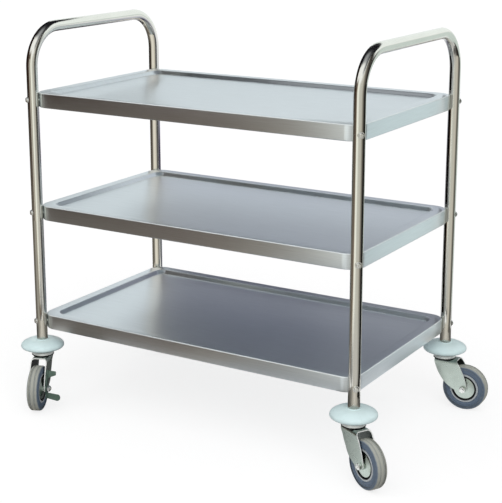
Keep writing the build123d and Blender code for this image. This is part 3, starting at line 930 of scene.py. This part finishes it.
class CART_OT_forks(bpy.types.Operator):
    """Bends the caster forks and sets their crowns on them"""

    bl_idname = "cart.forks"
    bl_label = "Forks"

    def execute(self, context):
        sizes = context.scene.cart_casters
        edge_rounding = 0.0006
        painted_shade_top = self.plate_top(sizes) + 0.0023
        for corner in CORNERS:
            spot = PLACES[corner]
            body = f"caster_{corner}"
            mesh = bmesh.new()
            self.add_sheet(mesh, sizes, spot.trail_length)
            sheet = place(
                f"fork_legs_{corner}", mesh, spot.upright, body, "zinc_plate", [f"fork_{corner}"],
            )
            soften(sheet, edge_rounding)
            mesh = bmesh.new()
            turned(mesh, self.crown_profile(sizes), CAP_STEPS)
            # Painted shade: a near-black line at the foot of the crown, just over the plate.
            mark(mesh, "painted_shade", lambda point: point.z < painted_shade_top)
            # Painted highlight: the crown above that line is drawn bright.
            mark(mesh, "painted_highlight", lambda point: point.z >= painted_shade_top)
            place(f"fork_crown_{corner}", mesh, spot.upright, body, "zinc_plate")
        return {"FINISHED"}

    @staticmethod
    def plate_top(sizes):
        """Height of the fork plate's upper face."""
        return FORK_HIGH.z - sizes.crown_height

    def edges(self, sizes, trail):
        """Front and back edges of a leg as (trail, height) points, from the plate down to its end."""
        top = self.plate_top(sizes)
        axle = (trail, sizes.wheel_radius)
        end = sizes.fork_end_radius
        back_round = arc(axle, end, degrees(sizes.fork_back_angle), -90, 10)
        front_round = arc(axle, end, degrees(sizes.fork_front_angle), -90, 6)
        back = bowed((sizes.fork_back, top), back_round[0], sizes.fork_back_bulge) + back_round[1:]
        chord = Vector(front_round[0]) - Vector((-sizes.fork_front, top))
        sweep = sizes.fork_front_angle + pi / 2 - atan2(chord.y, chord.x)
        front = bowed((-sizes.fork_front, top), front_round[0], -chord.length / 2 * tan(sweep / 2), 32)
        return front + front_round[1:], back

    @staticmethod
    def at_height(edge, height):
        """Where an edge stands at a height."""
        smallest_drop = 1e-9
        for (t_high, z_high), (t_low, z_low) in zip(edge, edge[1:]):
            if z_low <= height <= z_high:
                share = (z_high - height) / max(z_high - z_low, smallest_drop)
                return t_high + (t_low - t_high) * share
        return edge[-1][0] if height < edge[-1][1] else edge[0][0]

    def section(self, sizes):
        """The bent sheet seen along the trail, from one leg's foot to the other's.

        Each point is (across, up, outward way).
        """
        half = (sizes.fork_gap + sizes.fork_sheet) / 2
        middle = self.plate_top(sizes) - sizes.fork_sheet / 2
        bend = sizes.fork_bend - sizes.fork_sheet / 2
        foot = sizes.wheel_radius - sizes.fork_end_radius
        foot_gap, leg_steps = 0.00005, 26
        leg = []
        for i in range(leg_steps):
            rise = foot_gap + (middle - bend - foot) * ease(i / leg_steps)
            leg.append((half, foot + rise, (1.0, 0.0)))
        for across, up in arc((0, 0), 1.0, 0, 90, 6):
            leg.append((half - bend + bend * across, middle - bend + bend * up, (across, up)))
        return leg + [(-across, up, (-way[0], way[1])) for across, up, way in reversed(leg)]

    def add_sheet(self, mesh, sizes, trail):
        """The bent sheet: its outer face, its inner face marked for painted shade, and the cut edge between
        them marked for a painted highlight.
        """
        inside = mesh.faces.layers.float.new("inside")
        painted_highlight = mesh.faces.layers.float.new("painted_highlight")
        front, back = self.edges(sizes, trail)
        columns, crowding = 18, 1.6
        half_sheet = sizes.fork_sheet / 2
        roll_high = self.plate_top(sizes) - sizes.fork_bend
        roll_low = sizes.wheel_radius + 0.008
        fade_high, fade_low = 0.012, 0.015
        shells = ([], [])
        for across, up, way in self.section(sizes):
            start = self.at_height(front, up)
            stop = self.at_height(back, up)
            side = 1 if across > 0 else -1
            fade = clamp((roll_high - up) / fade_high) * clamp((up - roll_low) / fade_low)
            for shell, out in zip(shells, (half_sheet, -half_sheet)):
                row = []
                for i in range(columns + 1):
                    along = (stop - start) * (i / columns) ** crowding
                    roll = sizes.fork_roll * fade * max(0.0, 1 - along / sizes.fork_roll_width) ** 2
                    spot = (start + along, across - side * roll + way[0] * out, up + way[1] * out)
                    row.append(mesh.verts.new(spot))
                shell.append(row)
        # The inner shell is marked for painted shade, the cut edges for a painted highlight.
        for shell, layer in zip(shells, (None, inside)):
            self.skin(mesh, shell, layer)
        outer, inner = shells
        for edge in (0, columns):
            self.skin(mesh, [[row[edge] for row in outer], [row[edge] for row in inner]], painted_highlight)
        for end in (0, -1):
            self.skin(mesh, [outer[end], inner[end]], painted_highlight)

    @staticmethod
    def skin(mesh, rows, layer):
        """Four-sided faces between rows of points, marked in a layer if one is given."""
        for low, high in zip(rows, rows[1:]):
            for i in range(len(low) - 1):
                face = mesh.faces.new((low[i], low[i + 1], high[i + 1], high[i]))
                if layer:
                    face[layer] = 1.0

    def crown_profile(self, sizes):
        """The round cup on top of the plate that holds the balls."""
        top = FORK_HIGH.z
        plate = self.plate_top(sizes)
        foot, lip = sizes.crown_radius, sizes.crown_top_radius
        rolled, sunk, edge = 0.0012, 0.0012, 0.0004
        bore, cup, cup_depth = 0.0062, 0.0201, 0.005
        taper = (foot - lip) / sizes.crown_height
        outside = [(foot - 0.006, plate - sunk), (foot - 2 * edge, plate - edge), (foot, plate + edge)]
        outside += [(foot - taper * rise, plate + rise) for rise in (0.0022, 0.0024)]
        outside += arc((lip - rolled, top - rolled), rolled, 10, 90, 5)
        inside = [(cup, top), (cup, top - cup_depth), (bore, top - cup_depth)]
        return [(bore, plate - sunk)] + outside + inside


class CART_OT_wheels(bpy.types.Operator):
    """Turns the tyres and wheel centres"""

    bl_idname = "cart.wheels"
    bl_label = "Wheels"

    def execute(self, context):
        sizes = context.scene.cart_casters
        painted_shade_edge = sizes.hub_recess_radius + 0.0018
        for corner in CORNERS:
            spot = PLACES[corner]
            body = f"wheel_{corner}"
            mesh = bmesh.new()
            turned(mesh, self.tyre_profile(sizes), TYRE_STEPS)
            self.lay_dust(mesh, sizes)
            place(
                f"grooved_tyre_{corner}", mesh, spot.on_axle, body,
                "tyre_rubber", [f"tyre_{corner}"], crease=50.0,
            )
            mesh = bmesh.new()
            turned(mesh, self.hub_profile(sizes), HUB_STEPS)
            # Painted shade: the recess round the thread guard is marked to be drawn near-black.
            mark(mesh, "painted_shade", lambda point: point.xy.length < painted_shade_edge)
            place(
                f"wheel_centre_{corner}", mesh, spot.on_axle, body,
                "hub_plastic", [f"wheel_hub_{corner}"],
            )
        return {"FINISHED"}

    @staticmethod
    def lay_dust(mesh, sizes):
        """Marks how much of the floor's dust each part of the tyre carries: most on the tread."""
        dusty_depth = 0.0035
        layer = mesh.verts.layers.float.new("dust")
        for vertex in mesh.verts:
            below_tread = sizes.wheel_radius - vertex.co.xy.length
            vertex[layer] = max(0.0, 1.0 - below_tread / dusty_depth)

    @staticmethod
    def tyre_profile(sizes):
        """One side of the tyre from its seat to the middle of the tread, then mirrored.

        The shoulder's arc runs from the tread back to the wall, so the section crosses itself there.
        """
        half = sizes.tyre_width / 2
        outer, inner = sizes.wheel_radius, sizes.tyre_inner_radius
        shoulder, line_depth, edge = 0.005, 0.0005, 0.0003
        groove, groove_half, groove_depth = 0.0042, 0.0009, 0.0013
        groove_high, groove_low = groove + groove_half, groove - groove_half
        wall = [(inner, half - 0.0012), (inner + 0.0008, half - edge), (inner + 0.003, half)]
        wall += [(inner + 0.0055, half), (inner + 0.0060, half - line_depth)]
        wall += [(inner + 0.0070, half - line_depth), (inner + 0.0075, half)]
        rounding = arc((outer - shoulder, half - shoulder), shoulder, 0, 90, 10)
        tread = [(outer, groove_high + edge), (outer - edge, groove_high)]
        tread += [(outer - groove_depth, groove_high - edge), (outer - groove_depth, groove_low + edge)]
        tread += [(outer - edge, groove_low), (outer, groove_low - edge)]
        side = wall + rounding + tread
        return side + [(radius, -height) for radius, height in reversed(side)]

    @staticmethod
    def hub_profile(sizes):
        """Rim, dished web and boss of the wheel centre."""
        rim = sizes.hub_rim_width / 2
        outer, recess = sizes.tyre_inner_radius, sizes.hub_recess_radius
        web, boss, boss_half, bore = 0.004, 0.010, 0.009, 0.00605
        edge, root, fillet, rim_edge = 0.0005, 0.001, 0.002, 0.0008
        side = [(bore, boss_half), (boss - edge, boss_half), (boss, boss_half - edge)]
        side += [(boss, web + root), (boss + root, web), (recess - fillet, web)]
        side += [(recess, web + fillet), (recess, rim - rim_edge)]
        side += [(recess + beyond, rim) for beyond in (rim_edge, 0.0017, 0.0020)]
        side += [(outer - 0.0012, rim), (outer - 0.0002, rim - 0.001)]
        return side + [(radius, -height) for radius, height in reversed(side)]


class CART_OT_axles(bpy.types.Operator):
    """Fits the thread guards, axle bolts and nuts"""

    bl_idname = "cart.axles"
    bl_label = "Axles"

    def execute(self, context):
        sizes = context.scene.cart_casters
        for corner in CORNERS:
            spot = PLACES[corner]
            body = f"caster_{corner}"
            mesh = bmesh.new()
            for side in (1, -1):
                profile = [(radius, side * height) for radius, height in self.guard_profile(sizes)]
                turned(mesh, profile, HUB_STEPS)
            place(
                f"thread_guard_discs_{corner}", mesh, spot.on_axle, body,
                "zinc_plate", [f"thread_guards_{corner}"],
            )
            head_low, nut_low, tip = self.stations(corner)
            mesh = bmesh.new()
            join_rings(mesh, self.bolt_rings(sizes, head_low, nut_low, tip), cap_start=True, cap_end=True)
            place(
                f"hex_axle_bolt_{corner}", mesh, spot.on_axle, body,
                "bright_plate", [f"axle_bolt_{corner}"],
            )
            mesh = bmesh.new()
            join_rings(mesh, self.nut_rings(sizes, nut_low), closed=True)
            place(
                f"hex_axle_nut_{corner}", mesh, spot.on_axle, body,
                "bright_plate", [f"axle_nut_{corner}"],
            )
            paint_node(f"axle_sleeve_{corner}", "bearing_steel")
        return {"FINISHED"}

    @staticmethod
    def stations(corner):
        """Where the bolt head, the nut and the bolt's tip stand along the axle."""
        to_axle = PLACES[corner].on_axle.inverted()

        def reach(node):
            along = [(to_axle @ vertex.co).z for vertex in frame["nodes"][node].data.vertices]
            return min(along), max(along)

        bolt_low, bolt_high = reach(f"axle_bolt_{corner}")
        nut_low, _ = reach(f"axle_nut_{corner}")
        return bolt_low, nut_low, bolt_high

    @staticmethod
    def guard_profile(sizes):
        """A dished disc with a pressed ring, and the collar that meets the leg."""
        rim = sizes.guard_radius
        bore, collar = sizes.axle_radius + 0.0001, 0.0085
        seat, inside, outside = 0.0094, 0.0096, sizes.fork_gap / 2 - 0.0001
        return [
            (bore, seat),
            (0.0060, seat),
            (collar, inside + 0.0022),
            (0.0170, inside + 0.0011),
            (rim - 0.0006, inside),
            (rim, inside + 0.0003),
            (rim, inside + 0.0009),
            (rim - 0.0005, inside + 0.0012),
            (0.0220, inside + 0.0015),
            (0.0205, inside + 0.0020),
            (0.0125, inside + 0.0034),
            (collar, inside + 0.0040),
            (collar, outside),
            (bore, outside),
        ]

    @staticmethod
    def bolt_rings(sizes, head_low, nut_low, tip):
        """Chamfered hexagon head, plain shank and the threads past the nut."""
        seat = head_low + sizes.head_height
        shank = sizes.axle_radius
        rings = [circle(sizes.hex_width / 2 - HEX_INSET, head_low)]
        rings.append(hexagon(sizes.hex_width, head_low + HEX_CHAMFER))
        rings.append(hexagon(sizes.hex_width, seat))
        rings.append(circle(shank, seat))
        pitch, depth, tip_length = 0.00125, 0.0005, 0.0004
        turn = nut_low + sizes.nut_height - pitch
        rings.append(circle(shank, turn))
        while turn + pitch < tip - tip_length:
            rings.append(circle(shank - depth, turn + pitch * 0.5))
            rings.append(circle(shank, turn + pitch))
            turn += pitch
        rings.append(circle(shank - depth, tip))
        return rings

    @staticmethod
    def nut_rings(sizes, low):
        """A hexagon nut, chamfered on both faces."""
        high = low + sizes.nut_height
        bore = sizes.axle_radius
        face = sizes.hex_width / 2 - HEX_INSET
        return [
            circle(bore, low),
            circle(face, low),
            hexagon(sizes.hex_width, low + HEX_CHAMFER),
            hexagon(sizes.hex_width, high - HEX_CHAMFER),
            circle(face, high),
            circle(bore, high),
        ]


class CART_OT_brake_levers(bpy.types.Operator):
    """Paints the brake levers and rounds their edges"""

    bl_idname = "cart.brake_levers"
    bl_label = "Brake Levers"

    def execute(self, context):
        edge_rounding = 0.0004
        for corner in BRAKED:
            paint_node(f"brake_lever_{corner}", "brake_plate")
            soften(frame["nodes"][f"brake_lever_{corner}"], edge_rounding)
        return {"FINISHED"}


class CART_OT_studio(bpy.types.Operator):
    """Sets up the floor, the lights, the mirrored cards and the camera"""

    bl_idname = "cart.studio"
    bl_label = "Studio"

    def execute(self, context):
        setup = context.scene.cart_studio
        context.scene.view_settings.view_transform = "Standard"
        self.make_world(context.scene, setup)
        self.make_floor(setup)
        card = self.card_material("card")
        self.make_surround(card)
        self.make_dark_floor(card)
        self.make_near_floor(card)
        self.make_post_floor(card)
        self.make_foot_rings(self.card_material("ring_card", one_sided=True))
        self.make_post_strips(card)
        self.make_ceiling(card)
        self.make_bend_flags(card)
        self.make_back_sky(card)
        self.make_back_card(card)
        self.make_lights(setup)
        self.make_camera(context.scene, setup)
        return {"FINISHED"}

    @staticmethod
    def seen_by(nodes, links):
        """One where a camera, mirror or glass ray looks, and nought where light is gathered."""
        path = nodes.new("ShaderNodeLightPath")
        total = path.outputs["Is Camera Ray"]
        for name in ("Is Glossy Ray", "Is Transmission Ray"):
            either = nodes.new("ShaderNodeMath")
            either.operation = "MAXIMUM"
            links.new(total, either.inputs[0])
            links.new(path.outputs[name], either.inputs[1])
            total = either.outputs["Value"]
        return total

    def make_world(self, scene, setup):
        """A white backdrop to look at, and a softer grey to light by."""
        world = bpy.data.worlds.new("studio")
        scene.world = world
        world.use_nodes = True
        nodes, links = world.node_tree.nodes, world.node_tree.links
        background = nodes["Background"]
        background.inputs["Color"].default_value = (1, 1, 1, 1)
        strength = nodes.new("ShaderNodeMapRange")
        strength.inputs["To Min"].default_value = setup.room_light
        strength.inputs["To Max"].default_value = 1.0
        links.new(self.seen_by(nodes, links), strength.inputs["Value"])
        links.new(strength.outputs["Result"], background.inputs["Strength"])

    def make_floor(self, setup):
        """A pale floor that keeps a soft shadow and glows white to the camera."""
        material = bpy.data.materials.new("floor")
        material.use_nodes = True
        nodes, links = material.node_tree.nodes, material.node_tree.links
        shader = nodes["Principled BSDF"]
        shader.inputs["Base Color"].default_value = (*setup.floor_tone, 1)
        shader.inputs["Roughness"].default_value = 0.9
        shader.inputs["Specular IOR Level"].default_value = 0.0
        shader.inputs["Emission Color"].default_value = (1, 1, 1, 1)
        glow = nodes.new("ShaderNodeMath")
        glow.operation = "MULTIPLY"
        glow.inputs[1].default_value = setup.floor_glow
        links.new(self.seen_by(nodes, links), glow.inputs[0])
        links.new(glow.outputs["Value"], shader.inputs["Emission Strength"])
        mesh = bmesh.new()
        bmesh.ops.create_grid(mesh, x_segments=1, y_segments=1, size=setup.floor_size / 2)
        floor = add_object("floor", mesh, material)

    @staticmethod
    def card_material(name, one_sided=False):
        """A card that shows its own tone in the steel, from above alone if it is one-sided."""
        material = bpy.data.materials.new(name)
        material.use_nodes = True
        nodes, links = material.node_tree.nodes, material.node_tree.links
        nodes.clear()
        tone = nodes.new("ShaderNodeAttribute")
        tone.attribute_name = "tone"
        glow = nodes.new("ShaderNodeEmission")
        output = nodes.new("ShaderNodeOutputMaterial")
        links.new(tone.outputs["Color"], glow.inputs["Color"])
        surface = glow.outputs["Emission"]
        if one_sided:
            geometry = nodes.new("ShaderNodeNewGeometry")
            clear = nodes.new("ShaderNodeBsdfTransparent")
            choice = nodes.new("ShaderNodeMixShader")
            links.new(geometry.outputs["Backfacing"], choice.inputs[0])
            links.new(surface, choice.inputs[1])
            links.new(clear.outputs["BSDF"], choice.inputs[2])
            surface = choice.outputs["Shader"]
        links.new(surface, output.inputs["Surface"])
        return material

    @staticmethod
    def tinted(tone, green, blue):
        """A grey tone with its green and blue held back."""
        return (tone, tone * green, tone * blue)

    @staticmethod
    def make_card(name, grid, material):
        """A card from rows of (place, tone), seen only in mirror-like surfaces."""
        mesh = bmesh.new()
        layer = mesh.verts.layers.float_color.new("tone")
        rows = []
        for row in grid:
            vertices = []
            for spot, tone in row:
                vertex = mesh.verts.new(spot)
                vertex[layer] = (*tone, 1.0)
                vertices.append(vertex)
            rows.append(vertices)
        for low, high in zip(rows, rows[1:]):
            for i in range(len(low) - 1):
                mesh.faces.new((low[i], low[i + 1], high[i + 1], high[i]))
        card = add_object(name, mesh, material)
        card.visible_camera = False
        card.visible_diffuse = False
        card.visible_shadow = False
        card.visible_transmission = False

    def make_surround(self, material):
        """The dim room round the cart, with a bright front beside the camera.

        Each stop is (degrees to the right of the front, height of the dim part, where the dim floor
        starts, how dim that floor is, tone).
        """
        stops = (
            (-118, 0.90, 0.60, 0.86, (1.00, 1.00, 1.00)),
            (-113, 3.20, 0.60, 0.88, (0.016, 0.012, 0.012)),
            (-90, 3.20, 0.60, 0.88, (0.020, 0.014, 0.011)),
            (-78, 2.80, 0.58, 0.86, (0.019, 0.011, 0.009)),
            (-62, 2.20, 0.55, 0.86, (0.021, 0.012, 0.009)),
            (-50, 1.40, 0.47, 0.87, (0.041, 0.024, 0.017)),
            (-44, 1.25, 0.44, 0.88, (0.053, 0.032, 0.021)),
            (-28, 1.30, 0.32, 0.94, (0.108, 0.073, 0.054)),
            (-20, 1.40, 0.31, 0.92, (0.16, 0.125, 0.095)),
            (-12, 1.50, 0.30, 0.87, (0.24, 0.20, 0.155)),
            (-5, 1.4, 0.95, 1.00, (0.90, 0.88, 0.80)),
            (0, 1.3, 1.05, 1.00, (1.00, 1.00, 0.92)),
            (14, 1.2, 1.20, 1.00, (0.96, 0.96, 0.90)),
            (31, 1.2, 1.30, 1.00, (0.60, 0.59, 0.54)),
            (56, 1.5, 1.30, 1.00, (0.57, 0.55, 0.50)),
            (64, 1.6, 1.30, 1.00, (0.47, 0.45, 0.40)),
            (76, 1.96, 1.30, 1.00, (0.22, 0.205, 0.18)),
            (90, 2.37, 1.30, 1.00, (0.07, 0.06, 0.052)),
            (101, 2.7, 1.30, 1.00, (0.03, 0.025, 0.022)),
            (109, 2.7, 1.30, 1.00, (0.02, 0.016, 0.015)),
            (113, 1.15, 1.30, 1.00, (0.02, 0.016, 0.016)),
            (124, 1.05, 1.30, 1.00, (0.01, 0.008, 0.008)),
            (129, 1.0, 1.00, 1.00, (0.66, 0.74, 0.72)),
            (164, 0.9, 0.60, 1.00, (0.66, 0.74, 0.72)),
            (168, 0.9, 0.60, 1.00, (1.00, 1.00, 1.00)),
        )
        column_step = 4
        grid = []
        for (turn, *start, tone), (next_turn, *end, next_tone) in zip(stops, stops[1:]):
            steps = max(1, round((next_turn - turn) / column_step))
            for i in range(steps):
                share = i / steps
                sizes = [low + (high - low) * share for low, high in zip(start, end)]
                shade = Vector(tone).lerp(Vector(next_tone), share)
                grid.append(self.surround_column(turn + (next_turn - turn) * share, *sizes, shade))
        turn, *sizes, tone = stops[-1]
        grid.append(self.surround_column(turn, *sizes, Vector(tone)))
        self.make_card("surround", grid, material)

    @staticmethod
    def surround_column(turn, top, skirt, skirt_weight, tone):
        """One strip of the surround: out along the floor, up the wall and over to white."""
        white = Vector((1, 1, 1))
        warm = Vector((1.0, 0.93, 0.80))
        wall, warm_top, floor_gap = 1.60, 0.60, 0.004
        middle_weight = (1 + skirt_weight) / 2
        profile = (
            (skirt, 0.0, 0.0),
            (skirt + 0.12, 0.0, skirt_weight),
            (wall - 0.05, 0.02, skirt_weight),
            (wall, 0.10, skirt_weight),
            (wall, 0.33, middle_weight),
            (wall, warm_top, 1.0),
            (wall, top, 1.0),
            (wall, top * 1.2, 0.0),
        )
        column = []
        for reach, height, weight in profile:
            pale = white if height > warm_top else warm
            column.append((around(turn, reach, floor_gap + height), pale.lerp(tone, weight)))
        return column

    def make_dark_floor(self, material):
        """The unlit floor at the back left, which draws the dark line down each post."""
        dark = (0.015, 0.012, 0.012)
        height, reaches = 0.003, (0.70, 2.0, 7.0)
        turns = range(-154, -100, 4)
        grid = [[(around(turn, reach, height), dark) for reach in reaches] for turn in turns]
        self.make_card("dark_floor", grid, material)

    def make_near_floor(self, material):
        """The shaded floor under, before and beside the cart.

        Each patch is its height, its columns of (x, tone) and its rows of (y, weight).
        """
        patches = {
            "under_floor": (
                0.002,
                ((-0.62, 1.0), (-0.50, 0.06), (-0.30, 0.10), (0.10, 0.25), (0.30, 0.50), (0.38, 1.0)),
                ((-0.30, 1.0), (0.20, 1.0)),
            ),
            "front_floor": (
                0.005,
                ((-0.40, 0.16), (-0.10, 0.19), (0.12, 0.26), (0.28, 0.34), (0.36, 1.0)),
                ((-0.34, 0.0), (-0.42, 1.0), (-0.92, 1.0), (-1.05, 0.0)),
            ),
            "right_floor": (
                0.005,
                ((0.46, 1.0), (0.54, 0.55), (0.90, 0.55), (1.05, 1.0)),
                ((-0.15, 0.0), (-0.05, 1.0), (0.75, 1.0), (0.90, 0.0)),
            ),
        }
        for name, (height, columns, rows) in patches.items():
            grid = []
            for y, weight in rows:
                shades = [1 + (tone - 1) * weight for _, tone in columns]
                grid.append([((x, y, height), (shade,) * 3) for (x, _), shade in zip(columns, shades)])
            self.make_card(name, grid, material)

    def make_post_floor(self, material):
        """The floor that the feet of the right posts mirror.

        Each stop is (degrees to the right of the front, tone).
        """
        stops = (
            (-8, 0.56), (30, 0.58), (58, 0.58), (74, 0.48), (88, 0.36), (104, 0.16), (120, 0.07),
            (138, 0.09),
        )
        centre, height, reaches = (POST_X, -POST_Y), 0.006, (0.09, 1.15)
        grid = []
        for turn, tone in stops:
            shade = self.tinted(tone, 0.97, 0.93)
            grid.append([(around(turn, reach, height, centre), shade) for reach in reaches])
        self.make_card("post_floor", grid, material)

    def make_foot_rings(self, material):
        """A ring over each bumper that carries the stripes down to the foot of its post.

        Each stop is (degrees to the right of the front, tone).
        """
        stops = (
            (-150, 0.06), (-80, 0.11), (-53, 0.17), (-36, 0.22), (-12, 0.38), (9, 0.54), (29, 0.66),
            (48, 0.57), (66, 0.54), (84, 0.40), (100, 0.22), (121, 0.14), (150, 0.16), (174, 0.30),
        )
        gap = 0.0004
        reaches = (TUBE_RADIUS + gap, 0.052)
        height = BUMPER_HIGH.z + gap
        for corner in CORNERS:
            foot = PLACES[corner].foot
            grid = []
            for (turn, tone), (next_turn, next_tone) in zip(stops, stops[1:]):
                for share in (0.0, 0.34, 0.67):
                    here = turn + (next_turn - turn) * share
                    shade = self.tinted(tone + (next_tone - tone) * share, 0.95, 0.87)
                    grid.append([(around(here, reach, height, foot), shade) for reach in reaches])
            self.make_card(f"foot_ring_{corner}", grid, material)

    def make_post_strips(self, material):
        """Narrow strips close to the posts, which draw the stripes that only one post shows.

        Each strip is (post, lower end, upper end, stops), each stop (degrees round the post to the
        right of the front, tone).
        """
        low_end, high_end = 0.15, 0.80
        dark = ((-70, 0.0), (-26, 0.0))
        back_right = ((38, 0.58), (58, 0.62), (68, 0.36), (78, 0.16), (111, 0.06))
        back_left = ((-16, 0.30), (-7, 0.42), (6, 0.88), (31, 0.82), (49, 0.58), (60, 0.30))
        strips = (
            ("front_left", low_end, 0.43, ((-25, 0.34), (9, 0.37))),
            ("front_left", 0.43, high_end, ((-9, 0.46), (9, 0.50))),
            ("front_right", low_end, high_end, ((86, 0.02), (132, 0.0))),
            ("back_right", 0.218, 0.43, dark),
            ("back_right", 0.473, 0.685, dark),
            ("back_right", 0.729, high_end, dark),
            ("back_right", low_end, high_end, back_right),
            ("back_left", low_end, high_end, back_left),
        )
        reach = 2 * TUBE_RADIUS
        for index, (corner, low, high, stops) in enumerate(strips):
            foot = PLACES[corner].foot
            grid = []
            for turn, tone in stops:
                shade = self.tinted(tone, 0.94, 0.84)
                grid.append([(around(turn, reach, height, foot), shade) for height in (low, high)])
            self.make_card(f"post_strip_{index}", grid, material)

    def make_ceiling(self, material):
        """The unlit ceiling over the cart and behind it, open toward the light at the front.

        Each row is (y, tones), with a tone for each column.
        """
        height = 2.6
        columns = (-3.0, -1.0, -0.6, 0.2, 0.8, 1.4, 2.8)
        rows = (
            (-2.00, (1.00, 1.00, 1.00, 1.00, 1.00, 0.60, 0.40)),
            (-1.00, (1.00, 1.00, 1.00, 1.00, 0.90, 0.16, 0.12)),
            (-0.75, (0.02, 0.04, 0.30, 0.40, 0.30, 0.12, 0.06)),
            (-0.10, (0.02, 0.03, 0.20, 0.30, 0.15, 0.05, 0.03)),
            (0.25, (0.02, 0.02, 0.02, 0.02, 0.02, 0.02, 0.02)),
            (0.90, (0.02, 0.02, 0.02, 0.02, 0.02, 0.02, 0.02)),
            (1.10, (1.00, 1.00, 1.00, 0.30, 0.02, 0.02, 0.02)),
            (1.20, (1.00, 1.00, 1.00, 1.00, 0.02, 0.02, 0.02)),
            (1.40, (1.00, 1.00, 1.00, 1.00, 1.00, 1.00, 1.00)),
        )
        grid = []
        for y, tones in rows:
            shades = [(tone, tone**0.98, tone**0.93) for tone in tones]
            grid.append([((x, y, height), shade) for x, shade in zip(columns, shades)])
        self.make_card("ceiling", grid, material)

    def make_bend_flags(self, material):
        """Small dark flags beside and over the front handle bends, which draw their black crescents.

        Each hood is rows of (y, inner end, outer end), with the ends along X from the post.
        """
        hoods = {
            "left": ((-0.12, -0.17, 0.13), (0.05, -0.17, 0.13), (0.10, -0.13, 0.03), (0.15, -0.12, -0.03)),
            "right": ((-0.12, -0.22, 0.21), (0.05, -0.22, 0.21), (0.08, -0.22, 0.21)),
        }
        dark = (0.006, 0.006, 0.009)
        reach, lifts, turns = 0.22, (-10, 15, 38), [-98 - 6.5 * i for i in range(9)]
        hood_height = POST_HIGH.z + 0.176
        for side, side_x in SIDES.items():
            post_x = side_x * POST_X
            grid = []
            for lift in lifts:
                level = reach * cos(radians(lift))
                height = HANDLE_HEIGHT + reach * sin(radians(lift))
                grid.append([(around(turn, level, height, (post_x, -POST_Y)), dark) for turn in turns])
            self.make_card(f"bend_flag_{side}", grid, material)
            grid = []
            for y, inner, outer in hoods[side]:
                grid.append([((post_x + across, y, hood_height), dark) for across in (inner, outer)])
            self.make_card(f"bend_hood_{side}", grid, material)

    def make_back_sky(self, material):
        """The pale backdrop above the cart, a little green and blue as the handle bars show it."""
        pale = (0.95, 1.00, 1.00)
        reach, heights = 2.6, (0.85, 2.0, 5.0)
        turns = range(112, 249, 8)
        grid = [[(around(turn, reach, height), pale) for height in heights] for turn in turns]
        self.make_card("back_sky", grid, material)

    def make_back_card(self, material):
        """The slate card behind the cart that the shelf floors mirror, dark in the middle and pale above.

        Each height is (z, tone), and each edge is (x, weight of the tone).
        """
        back = 0.48
        heights = (
            (0.00, (0.15, 0.155, 0.18)),
            (0.30, (0.15, 0.155, 0.18)),
            (0.36, (0.034, 0.026, 0.07)),
            (0.46, (0.034, 0.026, 0.07)),
            (0.53, (0.22, 0.22, 0.29)),
            (0.62, (0.56, 0.58, 0.66)),
            (0.80, (1.00, 1.00, 1.00)),
        )
        white = Vector((1, 1, 1))
        edges = ((-0.60, 0.0), (-0.55, 1.0), (-0.15, 1.0), (0.05, 0.88), (0.40, 0.85), (0.48, 0.0))
        grid = []
        for height, tone in heights:
            grid.append([((x, back, height), white.lerp(Vector(tone), weight)) for x, weight in edges])
        self.make_card("back_card", grid, material)

    @staticmethod
    def make_lights(setup):
        """Broad soft light from overhead and from both sides of the camera."""
        suns = (
            ("overhead", (0.25, -0.5, 1.0), 80, setup.overhead_strength),
            ("key", (0.8, -1.0, 0.7), 50, setup.key_strength),
            ("fill", (-1.0, -0.8, 0.6), 60, setup.fill_strength),
        )
        for name, way, softness, strength in suns:
            lamp = bpy.data.lights.new(name, "SUN")
            lamp.angle = radians(softness)
            lamp.energy = strength
            holder = bpy.data.objects.new(name, lamp)
            bpy.context.scene.collection.objects.link(holder)
            holder.rotation_euler = Vector(way).to_track_quat("Z", "Y").to_euler()
            holder.visible_glossy = False

    @staticmethod
    def make_camera(scene, setup):
        """The photograph's own viewpoint."""
        data = bpy.data.cameras.new("camera")
        data.sensor_width = 36.0
        data.lens = setup.camera_lens
        data.shift_y = setup.camera_rise
        camera = bpy.data.objects.new("camera", data)
        scene.collection.objects.link(camera)
        camera.location = setup.camera_place
        camera.rotation_euler = (pi / 2 - setup.camera_dip, 0, setup.camera_turn)
        scene.camera = camera


class CART_PT_panel(bpy.types.Panel):
    """Lists the cart's operators and settings in the sidebar."""

    bl_idname = "CART_PT_panel"
    bl_label = "Dining Cart"
    bl_space_type = "VIEW_3D"
    bl_region_type = "UI"
    bl_category = "Dining Cart"

    def draw(self, context):
        column = self.layout.column(align=True)
        for operator in OPERATORS:
            column.operator(operator.bl_idname)
        for group in SETTINGS:
            box = self.layout.box()
            settings = getattr(context.scene, group)
            for name in settings.bl_rna.properties.keys():
                if name not in ("rna_type", "name"):
                    box.prop(settings, name)


OPERATORS = (
    CART_OT_end_frames,
    CART_OT_shelves,
    CART_OT_corner_bolts,
    CART_OT_bumpers,
    CART_OT_swivels,
    CART_OT_forks,
    CART_OT_wheels,
    CART_OT_axles,
    CART_OT_brake_levers,
    CART_OT_studio,
)
SETTINGS = {
    "cart_end_frames": EndFrameSizes,
    "cart_shelves": ShelfSizes,
    "cart_bolts": BoltSizes,
    "cart_bumpers": BumperSizes,
    "cart_casters": CasterSizes,
    "cart_finishes": Finishes,
    "cart_studio": StudioSetup,
}
CLASSES = (*SETTINGS.values(), *OPERATORS, CART_PT_panel)


def register():
    """Makes the classes known and gives the scene its settings."""
    for cls in CLASSES:
        bpy.utils.register_class(cls)
    for name, group in SETTINGS.items():
        setattr(bpy.types.Scene, name, PointerProperty(type=group))


def unregister():
    """Takes the settings and the classes away again."""
    for name in SETTINGS:
        delattr(bpy.types.Scene, name)
    for cls in reversed(CLASSES):
        bpy.utils.unregister_class(cls)


def main():
    """Builds the cart and its stage."""
    register()
    for operator in OPERATORS:
        group, name = operator.bl_idname.split(".")
        getattr(getattr(bpy.ops, group), name)()


if __name__ == "__main__":
    main()
